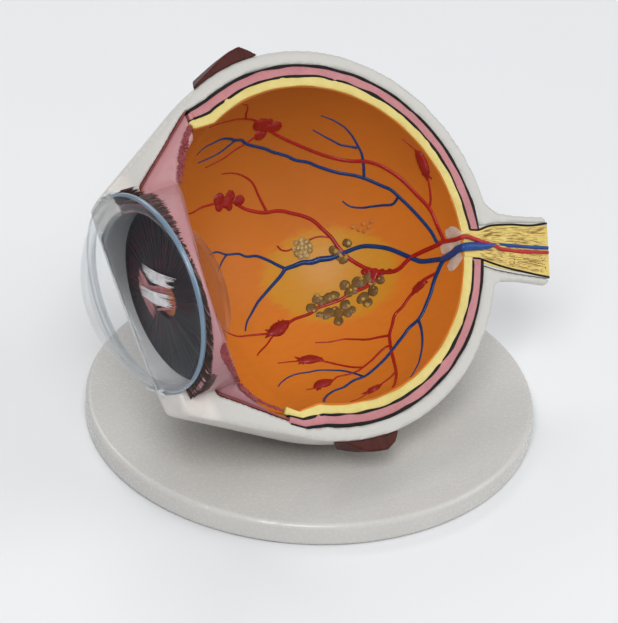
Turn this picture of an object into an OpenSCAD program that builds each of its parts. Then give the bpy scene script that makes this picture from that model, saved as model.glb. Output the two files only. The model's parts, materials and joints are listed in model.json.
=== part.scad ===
// Desk model of a human eye, cut open, at four times life size.
// Half a bowl of painted coats sits behind the cut; the front of the eye is whole.
// The eye leans back on a round foot and turns on one countersunk screw.
// Frame: +Z up, origin under the middle of the foot. The front of the eye points along -X.

/* [Foot] */
// Radius of the round foot
foot_r = 55; // [50:1:70]
// Thickness of the foot
foot_t = 6; // [5:0.5:10]
// Radius of the foot's rounded edges
foot_edge_r = 1.2; // [0.4:0.2:2]
// Where the eye stands on the foot, left to right
pivot_x = -2; // [-6:0.5:6]
// Where the eye stands on the foot, front to back
pivot_y = -4; // [-8:0.5:6]
// Depth of the dimple that seats the eye
seat_depth = 1.5; // [0.8:0.1:2]
// Running gap between the eye and its dimple
seat_gap = 0.3; // [0.2:0.05:0.5]

/* [Label film] */
// Length of the clear film on the foot
film_l = 46; // [20:1:50]
// Width of the clear film
film_w = 13; // [8:1:16]
// Thickness of the clear film
film_t = 0.2; // [0.1:0.05:0.4]
// Distance of the film from the middle of the foot
film_away = 41; // [36:0.5:42]
// Turn of the film round the foot
film_turn = -8; // [-20:1:20]

/* [Screw] */
// Radius of the screw's shank
screw_r = 2; // [1.5:0.25:2.25]
// Radius of the countersunk head
screw_head_r = 3.75; // [3:0.05:3.8]
// Height of the head's cone
screw_head_h = 2; // [1.6:0.1:2.6]
// How far the head lies under the foot's lower face
screw_sink = 0.4; // [0.2:0.1:0.8]
// How far the screw bites into the eye's wall
screw_bite = 2.6; // [1.5:0.1:3]
// Radial clearance of the shank in the foot
screw_fit = 0.05; // [0.02:0.01:0.1]

/* [Eye] */
// Outer radius of the white coat
eye_r = 48; // [46:0.5:52]
// Lean of the cut face back from upright
lean = 42; // [30:1:55]
// Thickness of the white coat
sclera_t = 3.6; // [3.2:0.1:4.5]
// Thickness of the outer black line
outer_line_t = 0.8; // [0.5:0.1:1.2]
// Thickness of the pink coat
choroid_t = 1.8; // [1.2:0.1:2.6]
// Thickness of the inner black line
inner_line_t = 0.7; // [0.5:0.1:1.2]
// Thickness of the yellow coat
retina_t = 1.8; // [1.2:0.1:2.6]
// Thickness of the orange lining
lining_t = 0.5; // [0.4:0.1:0.8]
// Gap left between neighbouring coats
coat_gap = 0.06; // [0.04:0.01:0.1]
// Distance from the eye's middle to the front end of the coats
ora_x = 21.8; // [20:0.2:24]
// Distance from the eye's middle to where the bowl's mouth leaves the sphere
mouth_x = 16; // [16:0.2:18]
// How far the white coat's mouth stands out beyond the sphere at its front end
mouth_flare = 1.5; // [0:0.1:1.8]
// How much more the mouth stands out for each unit of depth inside the white coat
mouth_gain = 0.34; // [0:0.02:0.4]

/* [Front of the eye] */
// Half angle of the white cone in front of the bowl
cone_deg = 28; // [24:1:32]
// Distance from the eye's middle to the front lip
lip_x = 50.6; // [50:0.2:52]
// Slant on which the front lip is trimmed behind the cut
trim_deg = 26.5; // [20:0.5:29]
// Distance from the eye's middle to where that slant meets the cut face
trim_x = 55.2; // [54:0.2:57]
// Distance from the eye's middle to the dome's rim
rim_x = 48.8; // [48:0.2:49.4]
// Rise of the dome's axis above the eye's axis
front_rise = 2.4; // [0:0.2:2.6]
// Radius of the chamber behind the dome
chamber_r = 21.5; // [20:0.1:22]
// Distance from the eye's middle to the back of the iris
iris_x = 41; // [40:0.2:42]
// Radius of the pink cone where it meets the iris
cone_tip_r = 25.6; // [24:0.1:26]
// Rise of the pink cone's axis above the eye's axis
cone_rise = 0.6; // [0:0.1:0.8]

/* [Cornea dome] */
// Outer radius of the dome's rim
dome_rim_r = 24.4; // [23:0.1:24.8]
// Radius of the dome's outer sphere
dome_r = 29; // [26:0.1:32]
// Wall of the dome
dome_wall = 1.6; // [1:0.1:2.4]
// Height of the thick rim band
dome_band = 1.4; // [0.8:0.1:2]
// Clearance round the dome where it seats
dome_gap = 0.1; // [0.05:0.05:0.3]

/* [Iris and lens] */
// Radius of the pupil
pupil_r = 4.8; // [3:0.1:7]
// How far the pupil's edge stands in front of the iris root
iris_rise = 3.2; // [2:0.1:3.6]
// Thickness of the iris
iris_t = 1.2; // [0.8:0.1:1.6]
// Radius of the lens
lens_r = 16; // [14:0.1:16.6]
// Radius of the lens's back sphere
lens_back_r = 32.6; // [28:0.2:40]
// Radius of the lens's front sphere
lens_front_r = 44; // [40:1:60]
// Thickness of the lens's edge
lens_edge = 1.6; // [1:0.1:2]
// Distance from the eye's middle to the seat of the lens
lens_seat_x = 39; // [38.8:0.1:39.2]
// Clearance round the lens
lens_gap = 0.1; // [0.05:0.05:0.2]

/* [Ciliary body] */
// Outer radius of the ring on the near side of the cut
ring_r = 24.3; // [23:0.1:24.4]
// Where the sloping back of that ring meets the cut face
ring_back_x = 32.3; // [31:0.1:33]
// Slope of the ring's back, as a run along the axis for each unit forward
ring_slope = 0.6; // [0.5:0.02:0.64]
// Lean of the ring's back and of the hollow inside it, further forward below
ring_tilt = 4.4; // [0:0.2:5]
// Thickness of the dark line between pink and white
border_t = 0.35; // [0.2:0.05:0.5]
// How far the rough strips stand proud of the cut
strip_h = 0.6; // [0.3:0.1:1]

/* [Optic nerve] */
// Fall of the nerve below the eye's axis where it leaves the bowl
nerve_root_deg = 17; // [14:0.5:20]
// Fall of the nerve's own axis
nerve_deg = 21; // [17:0.5:24]
// Length of the nerve from the bowl to its cut end
nerve_l = 18.8; // [16:0.2:24]
// Radius of the yellow core at the bowl
nerve_root_r = 4.1; // [3.6:0.1:4.4]
// Radius of the yellow core at the cut end
nerve_end_r = 6.4; // [5.6:0.1:6.8]
// Thickness of the black line round the core
nerve_line_t = 0.5; // [0.3:0.05:0.8]
// Outer radius of the white sheath
sheath_r = 8.7; // [8.2:0.1:10]
// Radius of the pale disc inside the bowl
disc_r = 5.4; // [5:0.1:6.5]

/* [Relief on the lining] */
// Width of the main arteries
artery_w = 1.3; // [0.9:0.1:1.5]
// Height of the arteries
artery_h = 0.7; // [0.4:0.1:1]
// Width of the main veins
vein_w = 1.3; // [0.9:0.1:1.5]
// Height of the veins
vein_h = 0.8; // [0.4:0.1:1]
// Width of the widest flame-shaped bleed
flame_w = 4.4; // [3:0.2:5]
// Height of the round bleeds and the flames
bleed_h = 0.8; // [0.4:0.1:1.2]
// Radius of the yellow patch
macula_r = 13.5; // [10:0.5:15]
// Radius of the larger beads
bead_r = 0.9; // [0.6:0.05:0.92]

/* [Muscle stubs] */
// Height of a muscle stub above the white coat
muscle_h = 3.4; // [2:0.1:5]
// Width of the upper stub behind the cut
upper_muscle_w = 13; // [8:0.5:18]
// Width of the lower stub, which has to clear the foot
lower_muscle_w = 9; // [6:0.5:10]
// Slant of a stub's front end behind the cut
muscle_slant = 32; // [20:1:45]
// Depth of a stub's side behind the cut, where its crown ends
muscle_side = 1; // [0.5:0.1:2]

/* [Hidden] */
$fn = 96;

far = 200;                       // larger than the whole model
eye_z = foot_t + eye_r - seat_depth;

// Radii of the coats, from the white one inwards
supra_r = eye_r - sclera_t;
choroid_r = supra_r - outer_line_t;
pigment_r = choroid_r - choroid_t;
retina_r = pigment_r - inner_line_t;
lining_r = retina_r - retina_t;
bowl_r = lining_r - lining_t;
relief_r = bowl_r - coat_gap;

// The pink cone runs from the end of the coats to the iris
cone_base_r = mouth_r(supra_r);
ora_in_r = mouth_r(bowl_r);

// The white cone leaves the sphere where it is tangent to it
tangent_x = eye_r * sin(cone_deg);
tangent_r = eye_r * cos(cone_deg);
lip_r = tangent_r - (lip_x - tangent_x) * tan(cone_deg);

// The dome and the lens
dome_mid_x = -rim_x + sqrt(dome_r * dome_r - dome_rim_r * dome_rim_r);
dome_seat_r = dome_rim_r + dome_gap;
lens_bore_r = lens_r + lens_gap;
lens_back_mid = -lens_seat_x + lens_edge - sqrt(lens_back_r * lens_back_r - lens_r * lens_r);
lens_front_mid = -lens_seat_x + sqrt(lens_front_r * lens_front_r - lens_r * lens_r);
lens_lip_r = lens_r - 1.5;
lens_lip_x = lens_front_mid - sqrt(lens_front_r * lens_front_r - lens_lip_r * lens_lip_r) - lens_gap;

// Where the nerve leaves the bowl
nerve_x = supra_r * cos(nerve_root_deg);
nerve_z = -supra_r * sin(nerve_root_deg);
nerve_in = lining_r - supra_r;

// ---------- frames and cutters ----------

// Puts its children in the eye's frame: x along the eye's axis, y into the half bowl
module eye_frame() {
    translate([pivot_x, pivot_y, eye_z]) rotate([-lean, 0, 0]) children();
}

// Everything in front of the cut face
module near_side() {
    translate([-far, -2 * far, -far]) cube(2 * far);
}

// Everything behind the cut face
module far_side() {
    translate([-far, 0, -far]) cube(2 * far);
}

// Everything further forward than x
module ahead_of(x) {
    translate([x - 2 * far, -far, -far]) cube(2 * far);
}

// Radius of a coat's mouth at the front end, for a coat whose sphere has radius r
function mouth_r(r) = sqrt(r * r - ora_x * ora_x) + mouth_flare + mouth_gain * (supra_r - r);

// The space inside a coat: a ball whose front end opens into a wider mouth
module ball(r) {
    seam_r = sqrt(r * r - mouth_x * mouth_x);
    slope = (seam_r - mouth_r(r)) / (ora_x - mouth_x);
    sphere(r);
    turned([[-ora_x - coat_gap, 0], [-ora_x - coat_gap, mouth_r(r)],
        [-mouth_x + 4, seam_r + 4 * slope], [-mouth_x + 4, 0]]);
}

// Tilts the ring's back and the hollow about the middle of the ring
module tilted() {
    translate([-ring_back_x, 0, 0]) rotate([0, ring_tilt, 0]) translate([ring_back_x, 0, 0]) children();
}

// Everything ahead of a slant that meets the cut face at x and falls back behind it
module slanted_ahead_of(x, slant) {
    translate([x, 0, 0]) rotate([0, 0, -slant]) ahead_of(0);
}

// A shape turned round the eye's axis, from points of [x, radius]
module turned(points) {
    rotate([0, 90, 0]) rotate_extrude() polygon([for (p = points) [p[1], p[0]]]);
}

// A shape turned round the nerve's axis, from points of [distance, radius]
module nerve_turned(points) {
    translate([nerve_x, 0, nerve_z]) rotate([0, 90 + nerve_deg, 0])
        rotate_extrude() polygon([for (p = points) [p[1], p[0]]]);
}

// A solid of revolution round the nerve whose radius grows from the bowl to the cut end
module nerve_taper(grow, from) {
    nerve_turned([[from, 0], [from, nerve_root_r + grow], [0, nerve_root_r + 0.3 + grow],
        [4, nerve_root_r + 1.2 + grow], [10, nerve_end_r - 0.5 + grow],
        [nerve_l, nerve_end_r + grow], [nerve_l, 0]]);
}

// ---------- foot ----------

module foot_disc() color("white") difference() {
    rotate_extrude() union() {
        square([foot_r - foot_edge_r, foot_t]);
        translate([0, foot_edge_r]) square([foot_r, foot_t - 2 * foot_edge_r]);
        for (z = [foot_edge_r, foot_t - foot_edge_r])
            translate([foot_r - foot_edge_r, z]) circle(foot_edge_r);
    }
    translate([pivot_x, pivot_y, eye_z]) sphere(eye_r + seat_gap);
    translate([pivot_x, pivot_y, -1]) cylinder(r = screw_r + screw_fit, h = foot_t + 2);
    translate([pivot_x, pivot_y, screw_sink])
        cylinder(r1 = screw_head_r + seat_gap, r2 = screw_r + screw_fit, h = screw_head_h + seat_gap);
    translate([pivot_x, pivot_y, -1]) cylinder(r = screw_head_r + seat_gap, h = 1 + screw_sink);
}

module label_film() color("white", 0.4) {
    corner = 2;
    rotate([0, 0, film_turn]) translate([0, -film_away, foot_t]) linear_extrude(film_t) union() {
        square([film_l - 2 * corner, film_w], center = true);
        square([film_l, film_w - 2 * corner], center = true);
        for (x = [-1, 1], y = [-1, 1])
            translate([x * (film_l / 2 - corner), y * (film_w / 2 - corner)]) circle(corner);
    }
}

module mounting_screw() color("silver") translate([pivot_x, pivot_y, screw_sink]) difference() {
    union() {
        cylinder(r1 = screw_head_r, r2 = screw_r, h = screw_head_h);
        cylinder(r = screw_r, h = eye_z - eye_r + screw_bite - screw_sink);
    }
    // hexagon socket in the head
    translate([0, 0, -1]) cylinder(r = screw_r * 0.68, h = 1 + screw_head_h * 0.7, $fn = 6);
}

// ---------- white coat ----------

// The space inside the white coat
module sclera_inside() {
    ball(supra_r);
    translate([0, 0, cone_rise]) turned([[-iris_x, 0], [-iris_x, cone_tip_r + border_t],
        [-ora_x, cone_base_r], [-ora_x, 0]]);
    translate([-lip_x - 5, 0, 0]) rotate([0, 90, 0]) cylinder(r = chamber_r, h = lip_x + 5 - iris_x + 1);
    // seat of the dome
    translate([-lip_x - 5, 0, front_rise]) rotate([0, 90, 0])
        cylinder(r = dome_seat_r, h = lip_x + 5 - rim_x);
}

// The white cone in front of the ball, whose lip is trimmed on a slant behind the cut
module white_cone() difference() {
    turned([[-lip_x, 0], [-lip_x, lip_r - 1], [-lip_x + 1, lip_r + tan(cone_deg)],
        [-tangent_x, tangent_r], [0, tangent_r], [0, 0]]);
    slanted_ahead_of(-trim_x, trim_deg);
}

module sclera_shell() color("ivory") difference() {
    eye_frame() difference() {
        union() {
            sphere(eye_r);
            white_cone();
            nerve_turned([[-4, 0], [-4, sheath_r + 3], [2.2, sheath_r + 1.8],
                [3.4, sheath_r + 0.7], [5.2, sheath_r - 0.1], [10, sheath_r - 0.4],
                [nerve_l - 1, sheath_r], [nerve_l, sheath_r - 0.9], [nerve_l, 0]]);
        }
        sclera_inside();
        near_side();
        nerve_taper(nerve_line_t + coat_gap, nerve_in);
        // the core's bore runs out through the cut end
        nerve_turned([[nerve_l - 0.5, 0], [nerve_l - 0.5, nerve_end_r + nerve_line_t + coat_gap],
            [nerve_l + 1, nerve_end_r + nerve_line_t + coat_gap], [nerve_l + 1, 0]]);
    }
    // the screw's hole in the underside
    translate([pivot_x, pivot_y, 0]) cylinder(r = screw_r + screw_fit, h = eye_z - eye_r + screw_bite + 0.1);
}

// ---------- coats inside the white one ----------

// One coat of the half bowl, bored round the nerve
module coat(r_out, r_in, bore_r) {
    eye_frame() difference() {
        ball(r_out - coat_gap);
        ball(r_in);
        near_side();
        ahead_of(-ora_x);
        nerve_turned([[-far / 4, 0], [-far / 4, bore_r + coat_gap], [3, bore_r + coat_gap], [3, 0]]);
    }
}

module suprachoroid_line() color([0.06, 0.05, 0.05])
    coat(supra_r, choroid_r, nerve_root_r + nerve_line_t + 0.3);

module choroid_layer() color([0.86, 0.52, 0.56])
    coat(choroid_r, pigment_r, nerve_root_r + nerve_line_t + 0.3);

module pigment_line() color([0.06, 0.05, 0.05])
    coat(pigment_r, retina_r, nerve_root_r + nerve_line_t + 0.3);

module retina_layer() color([0.92, 0.86, 0.48])
    coat(retina_r, lining_r, nerve_root_r + 0.2);

// Bores the pocket of an inlay, along a direction from the eye's middle
module pocket(at, r) {
    rotate([0, 0, 90 - at[0]]) rotate([0, 90 - at[1], 0]) cylinder(r = r, h = far);
}

module retina_lining() color([0.80, 0.45, 0.13]) difference() {
    coat(lining_r, bowl_r, coat_gap);
    eye_frame() {
        pocket(macula_at, macula_r + coat_gap);
        pocket(disc_at, disc_r + coat_gap);
    }
}

module macula_patch() color([0.85, 0.60, 0.15]) intersection() {
    coat(lining_r, bowl_r, coat_gap);
    eye_frame() pocket(macula_at, macula_r);
}

module optic_disc() color([0.85, 0.80, 0.76]) intersection() {
    coat(lining_r, bowl_r, coat_gap);
    eye_frame() pocket(disc_at, disc_r);
}

// ---------- optic nerve ----------

module nerve_core() color([0.90, 0.78, 0.42]) eye_frame() difference() {
    nerve_taper(0, nerve_in);
    sphere(lining_r);
    near_side();
}

module nerve_line() color([0.06, 0.05, 0.05]) eye_frame() difference() {
    nerve_taper(nerve_line_t, nerve_in);
    nerve_taper(coat_gap, nerve_in);
    nerve_turned([[nerve_l - 0.5, 0], [nerve_l - 0.5, nerve_end_r + coat_gap],
        [nerve_l + 1, nerve_end_r + coat_gap], [nerve_l + 1, 0]]);
    sphere(retina_r);
    near_side();
}

// ---------- ridges: vessels laid along a route ----------

// Unit vector for a place [longitude, latitude]; longitude 0 is the bottom of the bowl
function toward(p) = [sin(p[0]) * cos(p[1]), cos(p[0]) * cos(p[1]), sin(p[1])];
function unit(v) = v / norm(v);
function tangent(path, i) =
    unit(path[min(i + 1, len(path) - 1)] - path[max(i - 1, 0)]);

// Cross-section ring of a ridge: two feet on the surface and two shoulders above them
function ridge_ring(p, t, up, half, h) = let (side = unit(cross(t, up)))
    [p - side * half, p - side * half * 0.55 + up * h, p + side * half * 0.55 + up * h, p + side * half];

// A low ridge along a path; ups holds the outward direction at each point
module ridge(path, ups, halves, h) {
    n = len(path);
    rings = [for (i = [0:n - 1])
        each ridge_ring(path[i], tangent(path, i), ups[i], halves[i], h * halves[i] / max(halves))];
    walls = [for (i = [0:n - 2], k = [0:3]) let (a = 4 * i + k, b = 4 * i + (k + 1) % 4)
        each [[a, a + 4, b], [b, a + 4, b + 4]]];
    ends = [[0, 1, 2], [0, 2, 3], [4 * n - 4, 4 * n - 2, 4 * n - 3], [4 * n - 4, 4 * n - 1, 4 * n - 2]];
    polyhedron(points = rings, faces = concat(walls, ends));
}

// A vessel on the lining that narrows from its root to its tip
module vessel(route, w, h, tip = 0.5) {
    n = len(route);
    ridge([for (p = route) toward(p) * relief_r], [for (p = route) -toward(p)],
        [for (i = [0:n - 1]) w / 2 * (1 - (1 - tip) * i / (n - 1))], h);
}

// A flame-shaped bleed: widest in the middle, drawn out at both ends
module flame(route, w) {
    n = len(route);
    ridge([for (p = route) toward(p) * (relief_r - coat_gap)], [for (p = route) -toward(p)],
        [for (i = [0:n - 1]) w / 2 * (0.25 + 0.75 * sin(180 * i / (n - 1)))], bleed_h);
}

// A vessel on the flat face of the nerve, from points of [along the nerve, above its axis]
module nerve_vessel(route, w, h) {
    s = sin(nerve_deg);
    c = cos(nerve_deg);
    ridge([for (p = route) [nerve_x + p[0] * c + p[1] * s, -coat_gap, nerve_z - p[0] * s + p[1] * c]],
        [for (p = route) [0, -1, 0]], [for (p = route) w / 2], h);
}

// A shallow dome on the lining, h high, whose round foot of radius r rests on it
module bump(at, r, h) {
    ball = (r * r + h * h) / (2 * h);
    rotate([0, 0, 90 - at[0]]) rotate([0, -90 - at[1], 0])
        translate([0, 0, -sqrt(relief_r * relief_r - r * r)]) rotate_extrude() intersection() {
            translate([0, h - ball]) circle(ball);
            square([r + ball, h]);
        }
}

// Routes are [longitude, latitude] in whole degrees on the lining, read from the model
macula_at = [27, -6];
disc_at = [90, -17];

superior_artery = [[81, -9], [79, -4], [76, 1], [72, 9], [70, 15], [66, 21], [63, 24]];
superior_artery_far = [[58, 27], [55, 28], [50, 31], [44, 36], [40, 40], [36, 44], [32, 48],
    [29, 52]];
superior_twigs = [
    [[76, 0], [79, 3], [82, 8]],
    [[86, 23], [85, 26], [84, 28]],
    [[15, 64], [5, 67], [-10, 69], [-25, 69], [-42, 69], [-60, 67]],
    [[4, 67], [1, 71], [-4, 75], [-16, 79], [-40, 81]],
    [[13, 53], [7, 52], [2, 51], [-4, 49], [-10, 48], [-18, 47]]];
middle_artery = [[80, -12], [73, -12], [67, -12]];
middle_artery_far = [[59, -15], [56, -16], [51, -16], [47, -14], [44, -12], [41, -9], [38, -5],
    [36, 0], [35, 4], [33, 8], [31, 12], [28, 15], [25, 17], [20, 20], [15, 21], [12, 22], [8, 24],
    [6, 26]];
middle_twigs = [
    [[15, 21], [14, 25], [13, 29], [12, 33], [10, 36], [6, 39], [1, 41], [-5, 42]],
    [[-10, 31], [-16, 31], [-22, 30], [-26, 30]],
    [[47, -14], [44, -17], [40, -18], [35, -18], [30, -19], [25, -19], [20, -19], [15, -20], [10, -20]],
    [[-4, -22], [-9, -21], [-14, -20], [-18, -18], [-22, -15]],
    [[-1, -24], [-4, -25], [-8, -26], [-12, -28], [-15, -29]]];
inferior_artery = [[71, -21], [69, -23]];
inferior_artery_far = [[58, -28], [54, -31], [50, -33], [48, -37], [46, -41], [46, -47]];
inferior_twigs = [
    [[47, -53], [49, -59], [52, -66], [55, -72], [60, -78]],
    [[46, -41], [41, -40], [35, -39], [30, -37], [25, -35], [19, -34], [13, -32]],
    [[46, -46], [42, -46], [38, -48], [34, -50], [28, -52]],
    [[28, -52], [23, -50], [17, -46], [13, -42]],
    [[17, -53], [13, -52], [9, -52]],
    [[-7, -55], [-12, -54]],
    [[-1, -37], [-4, -36], [-9, -35]],
    [[50, -61], [46, -65], [40, -68]],
    [[19, -74], [8, -76], [-8, -76]]];
flames = [
    [[82, 9], [84, 13], [86, 18], [86, 22]],
    [[9, -20], [6, -21], [2, -22], [-3, -22]],
    [[68, -23], [65, -24], [62, -26], [59, -28]],
    [[12, -41], [8, -39], [4, -38], [0, -37]],
    [[8, -52], [4, -53], [-1, -53], [-6, -55]],
    [[39, -68], [33, -71], [27, -73], [21, -74]]];
flame_widths = [0.7, 1, 0.5, 0.7, 0.9, 0.7];

superior_vein = [[76, -9], [74, -7], [72, -4], [70, 0], [68, 4], [66, 8], [64, 12], [61, 15], [56, 20],
    [52, 23], [47, 26], [41, 31], [38, 34], [33, 37], [30, 40], [24, 44], [20, 47], [13, 51], [6, 55],
    [1, 56], [-5, 58], [-13, 59], [-21, 58], [-28, 57], [-34, 54]];
superior_vein_twigs = [
    [[1, 56], [-4, 54], [-10, 52], [-17, 51], [-27, 50]],
    [[56, 20], [59, 25], [61, 29], [62, 33], [63, 38], [63, 43], [61, 48], [58, 52]],
    [[61, 32], [58, 34], [55, 36], [53, 39], [51, 42], [48, 47]],
    [[66, 9], [62, 7], [58, 8], [54, 9], [50, 10], [46, 12], [44, 15]]];
middle_vein = [[77, -18], [71, -18], [66, -17], [62, -14], [57, -10], [53, -7], [47, -4], [43, -3],
    [40, -3]];
middle_vein_far = [[34, -3], [32, -3], [28, -2], [25, -2], [22, -1], [19, -1], [15, -1]];
middle_vein_twigs = [
    [[15, -1], [13, 1], [10, 4], [6, 7], [2, 8], [-1, 10], [-6, 11], [-10, 13], [-14, 13]],
    [[-6, 11], [-9, 9], [-12, 6]],
    [[15, -1], [12, -3], [8, -5], [4, -7], [0, -9], [-3, -11], [-6, -13], [-9, -15], [-12, -18]]];
inferior_vein = [[77, -18], [74, -22], [71, -26], [69, -30], [67, -33], [65, -36], [62, -39],
    [57, -41], [53, -44], [49, -47], [45, -50], [40, -53], [33, -56], [26, -58], [18, -58], [9, -60],
    [1, -60], [-6, -61], [-14, -63], [-24, -66]];
inferior_vein_twigs = [
    [[26, -58], [22, -54], [17, -50], [11, -47], [6, -45], [0, -44], [-5, -43], [-11, -43], [-17, -44],
        [-21, -45], [-24, -46]],
    [[62, -39], [64, -43], [66, -48], [68, -53], [70, -58], [73, -63], [76, -68], [80, -72]]];
vein_trunk = [[87, -14], [84, -16], [80, -17], [77, -18]];

// Places of the bleeds, the beads and the spots, with their radii
round_bleed_lobes = [
    [[20, 60, 2.1], [29, 56, 1.9], [19, 54, 1.6]],
    [[-6, 32, 1.7], [0, 32, 1.5], [4, 29, 1.5], [-6, 29, 1.2], [-1, 28, 1]]];
bead_places = [[22, -15], [25, -16], [28, -14], [31, -13], [34, -14], [37, -13], [40, -13],
    [20, -23], [23, -22], [26, -23], [29, -22], [32, -22], [35, -22], [38, -21], [25, -26], [29, -25],
    [18, -16], [32, -10], [31, 0], [33, -7], [30, -6], [40, 2]];
tuft_place = [23, 4];
tuft_petals = 7;
tuft_spread = 3.2;
spot_places = [[44, 9], [47, 7], [41, 7]];

// ---------- relief on the lining ----------

module artery_ridges() {
    for (route = [superior_artery, superior_artery_far, middle_artery, middle_artery_far,
            inferior_artery, inferior_artery_far])
        vessel(route, artery_w, artery_h, 0.75);
    for (route = concat(superior_twigs, middle_twigs, inferior_twigs))
        vessel(route, artery_w * 0.75, artery_h);
}

module vein_ridges() {
    vessel(vein_trunk, vein_w * 1.6, vein_h * 1.2, 0.8);
    for (route = [superior_vein, middle_vein, middle_vein_far, inferior_vein])
        vessel(route, vein_w, vein_h, 0.55);
    for (route = concat(superior_vein_twigs, middle_vein_twigs, inferior_vein_twigs))
        vessel(route, vein_w * 0.75, vein_h);
}

module retinal_arteries() color([0.66, 0.12, 0.10]) eye_frame() artery_ridges();

// Where ridges cross, the arteries stay whole and the others are cut away round them
module retinal_veins() color([0.11, 0.17, 0.45]) eye_frame() difference() {
    vein_ridges();
    artery_ridges();
}

module round_bleeds() color([0.62, 0.11, 0.10]) eye_frame()
    for (lobes = round_bleed_lobes) hull() for (lobe = lobes) bump(lobe, lobe[2], bleed_h, $fn = 24);

module flame_bleeds() color([0.62, 0.11, 0.10]) eye_frame() difference() {
    for (i = [0:len(flames) - 1]) flame(flames[i], flame_w * flame_widths[i]);
    vein_ridges();
    artery_ridges();
}

module exudate_beads() color([0.45, 0.34, 0.14]) eye_frame()
    for (at = bead_places) bump(at, bead_r, bleed_h);

module vessel_tuft() color([0.72, 0.58, 0.30]) eye_frame() {
    bump(tuft_place, bead_r * 1.2, bleed_h * 1.3);
    for (i = [0:tuft_petals - 1])
        bump(tuft_place + tuft_spread * [cos(360 * i / tuft_petals), sin(360 * i / tuft_petals)],
            bead_r, bleed_h);
}

module cotton_wool_spots() color([0.82, 0.55, 0.25]) eye_frame()
    for (at = spot_places) bump(at, bead_r * 0.8, bleed_h * 0.5);

module central_artery() color([0.66, 0.12, 0.10]) eye_frame()
    nerve_vessel([[-5, 0.9], [-3, 1.2], [0, 1.2], [2, 0.9], [5, 0.2], [8, -0.4], [12, -0.6],
        [nerve_l, -0.5]], artery_w * 0.8, artery_h);

module central_vein() color([0.11, 0.17, 0.45]) eye_frame() {
    nerve_vessel([[-5, -1.4], [-3, -0.9], [-1, -0.7], [1, -0.6]], vein_w * 1.4, vein_h * 1.4);
    nerve_vessel([[6, 1.1], [8, 1], [12, 0.9], [nerve_l, 0.9]], vein_w * 0.8, vein_h);
}

// ---------- ciliary body, iris, lens and dome ----------

module ciliary_body() color([0.83, 0.55, 0.58]) eye_frame() {
    // the half behind the cut: a wedge from the coats' end to the iris, bored for the lens
    difference() {
        translate([0, 0, cone_rise]) turned([[-ora_x - coat_gap, 0],
            [-ora_x - coat_gap, cone_base_r - border_t - coat_gap],
            [-iris_x + coat_gap, cone_tip_r - coat_gap], [-iris_x + coat_gap, 0]]);
        ciliary_hollow();
        near_side();
    }
    // the ring in front of the cut, with its sloping back
    difference() {
        turned([[-rim_x + coat_gap, 0], [-rim_x + coat_gap, ring_r], [-ring_back_x + 2, ring_r],
            [-ring_back_x + 2, 0]]);
        ciliary_hollow();
        translate([-rim_x - 1, 0, 0]) rotate([0, 90, 0]) cylinder(r = chamber_r, h = rim_x - iris_x + 1);
        far_side();
        ring_back();
    }
}

// The hollow of the ciliary body: a tilted cup that opens backwards, and the bore of the lens
module ciliary_hollow() {
    tilted() turned([[-ora_x + 4, 0], [-ora_x + 4, ora_in_r], [-22.2, ora_in_r],
        [-24.3, ora_in_r - 1.3], [-26.4, ora_in_r - 2.8], [-28.3, 30.9], [-29.9, 28.8], [-31.9, 25.5],
        [-32.7, 22.3], [-33.6, 17.6], [-34.6, lens_bore_r], [-34.6, 0]]);
    turned([[-ora_x, 0], [-ora_x, lens_bore_r], [-lens_seat_x - lens_gap, lens_bore_r],
        [lens_lip_x, lens_lip_r], [-iris_x - 1, lens_lip_r], [-iris_x - 1, 0]]);
}

// Everything behind the ring's sloping back
module ring_back() {
    tilted() translate([-ring_back_x, 0, 0]) rotate([0, 0, -atan(ring_slope)])
        translate([0, -far, -far]) cube([2 * far, 2 * far, 2 * far]);
}

module ciliary_border() color([0.45, 0.10, 0.12]) eye_frame() difference() {
    translate([0, 0, cone_rise]) turned([[-iris_x + coat_gap, 0],
        [-iris_x + coat_gap, cone_tip_r + border_t - coat_gap],
        [-ora_x - coat_gap, cone_base_r - coat_gap], [-ora_x - coat_gap, 0]]);
    translate([0, 0, cone_rise]) turned([[-iris_x - 1, 0],
        [-iris_x - 1, cone_tip_r - (cone_base_r - border_t - cone_tip_r) / (iris_x - ora_x)],
        [-ora_x + 1, cone_base_r - border_t + (cone_base_r - border_t - cone_tip_r) / (iris_x - ora_x)],
        [-ora_x + 1, 0]]);
    near_side();
}

// Rough strips where the pink wedge meets the lining, above and below
module ciliary_strips() color([0.62, 0.25, 0.30]) eye_frame()
    translate([0, -coat_gap, 0]) rotate([90, 0, 0]) linear_extrude(strip_h) {
        polygon([[-22.3, 37], [-23.4, 36.8], [-25.8, 33.9], [-27.9, 30.9], [-29.7, 27.2], [-30.4, 25],
            [-29.6, 25.8], [-27.4, 29.5], [-24.5, 33.2], [-22.3, 35.7]]);
        polygon([[-36, -24.9], [-34.9, -27.4], [-32.8, -30.1], [-30.6, -32], [-30.3, -31.2],
            [-32.1, -28.9], [-33.8, -26], [-34.2, -24.7]]);
    }

module iris_disc() color([0.17, 0.10, 0.13]) eye_frame()
    turned([[-iris_x, chamber_r - coat_gap], [-iris_x - iris_t, chamber_r - coat_gap],
        [-iris_x - iris_t - iris_rise, pupil_r], [-iris_x - iris_rise, pupil_r]]);

module lens() color("lightcyan", 0.5) eye_frame() rotate([0, 90, 0]) rotate_extrude() intersection() {
    translate([0, lens_back_mid]) circle(lens_back_r);
    translate([0, lens_front_mid]) circle(lens_front_r);
    translate([0, -far]) square([lens_r, far]);
}

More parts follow.
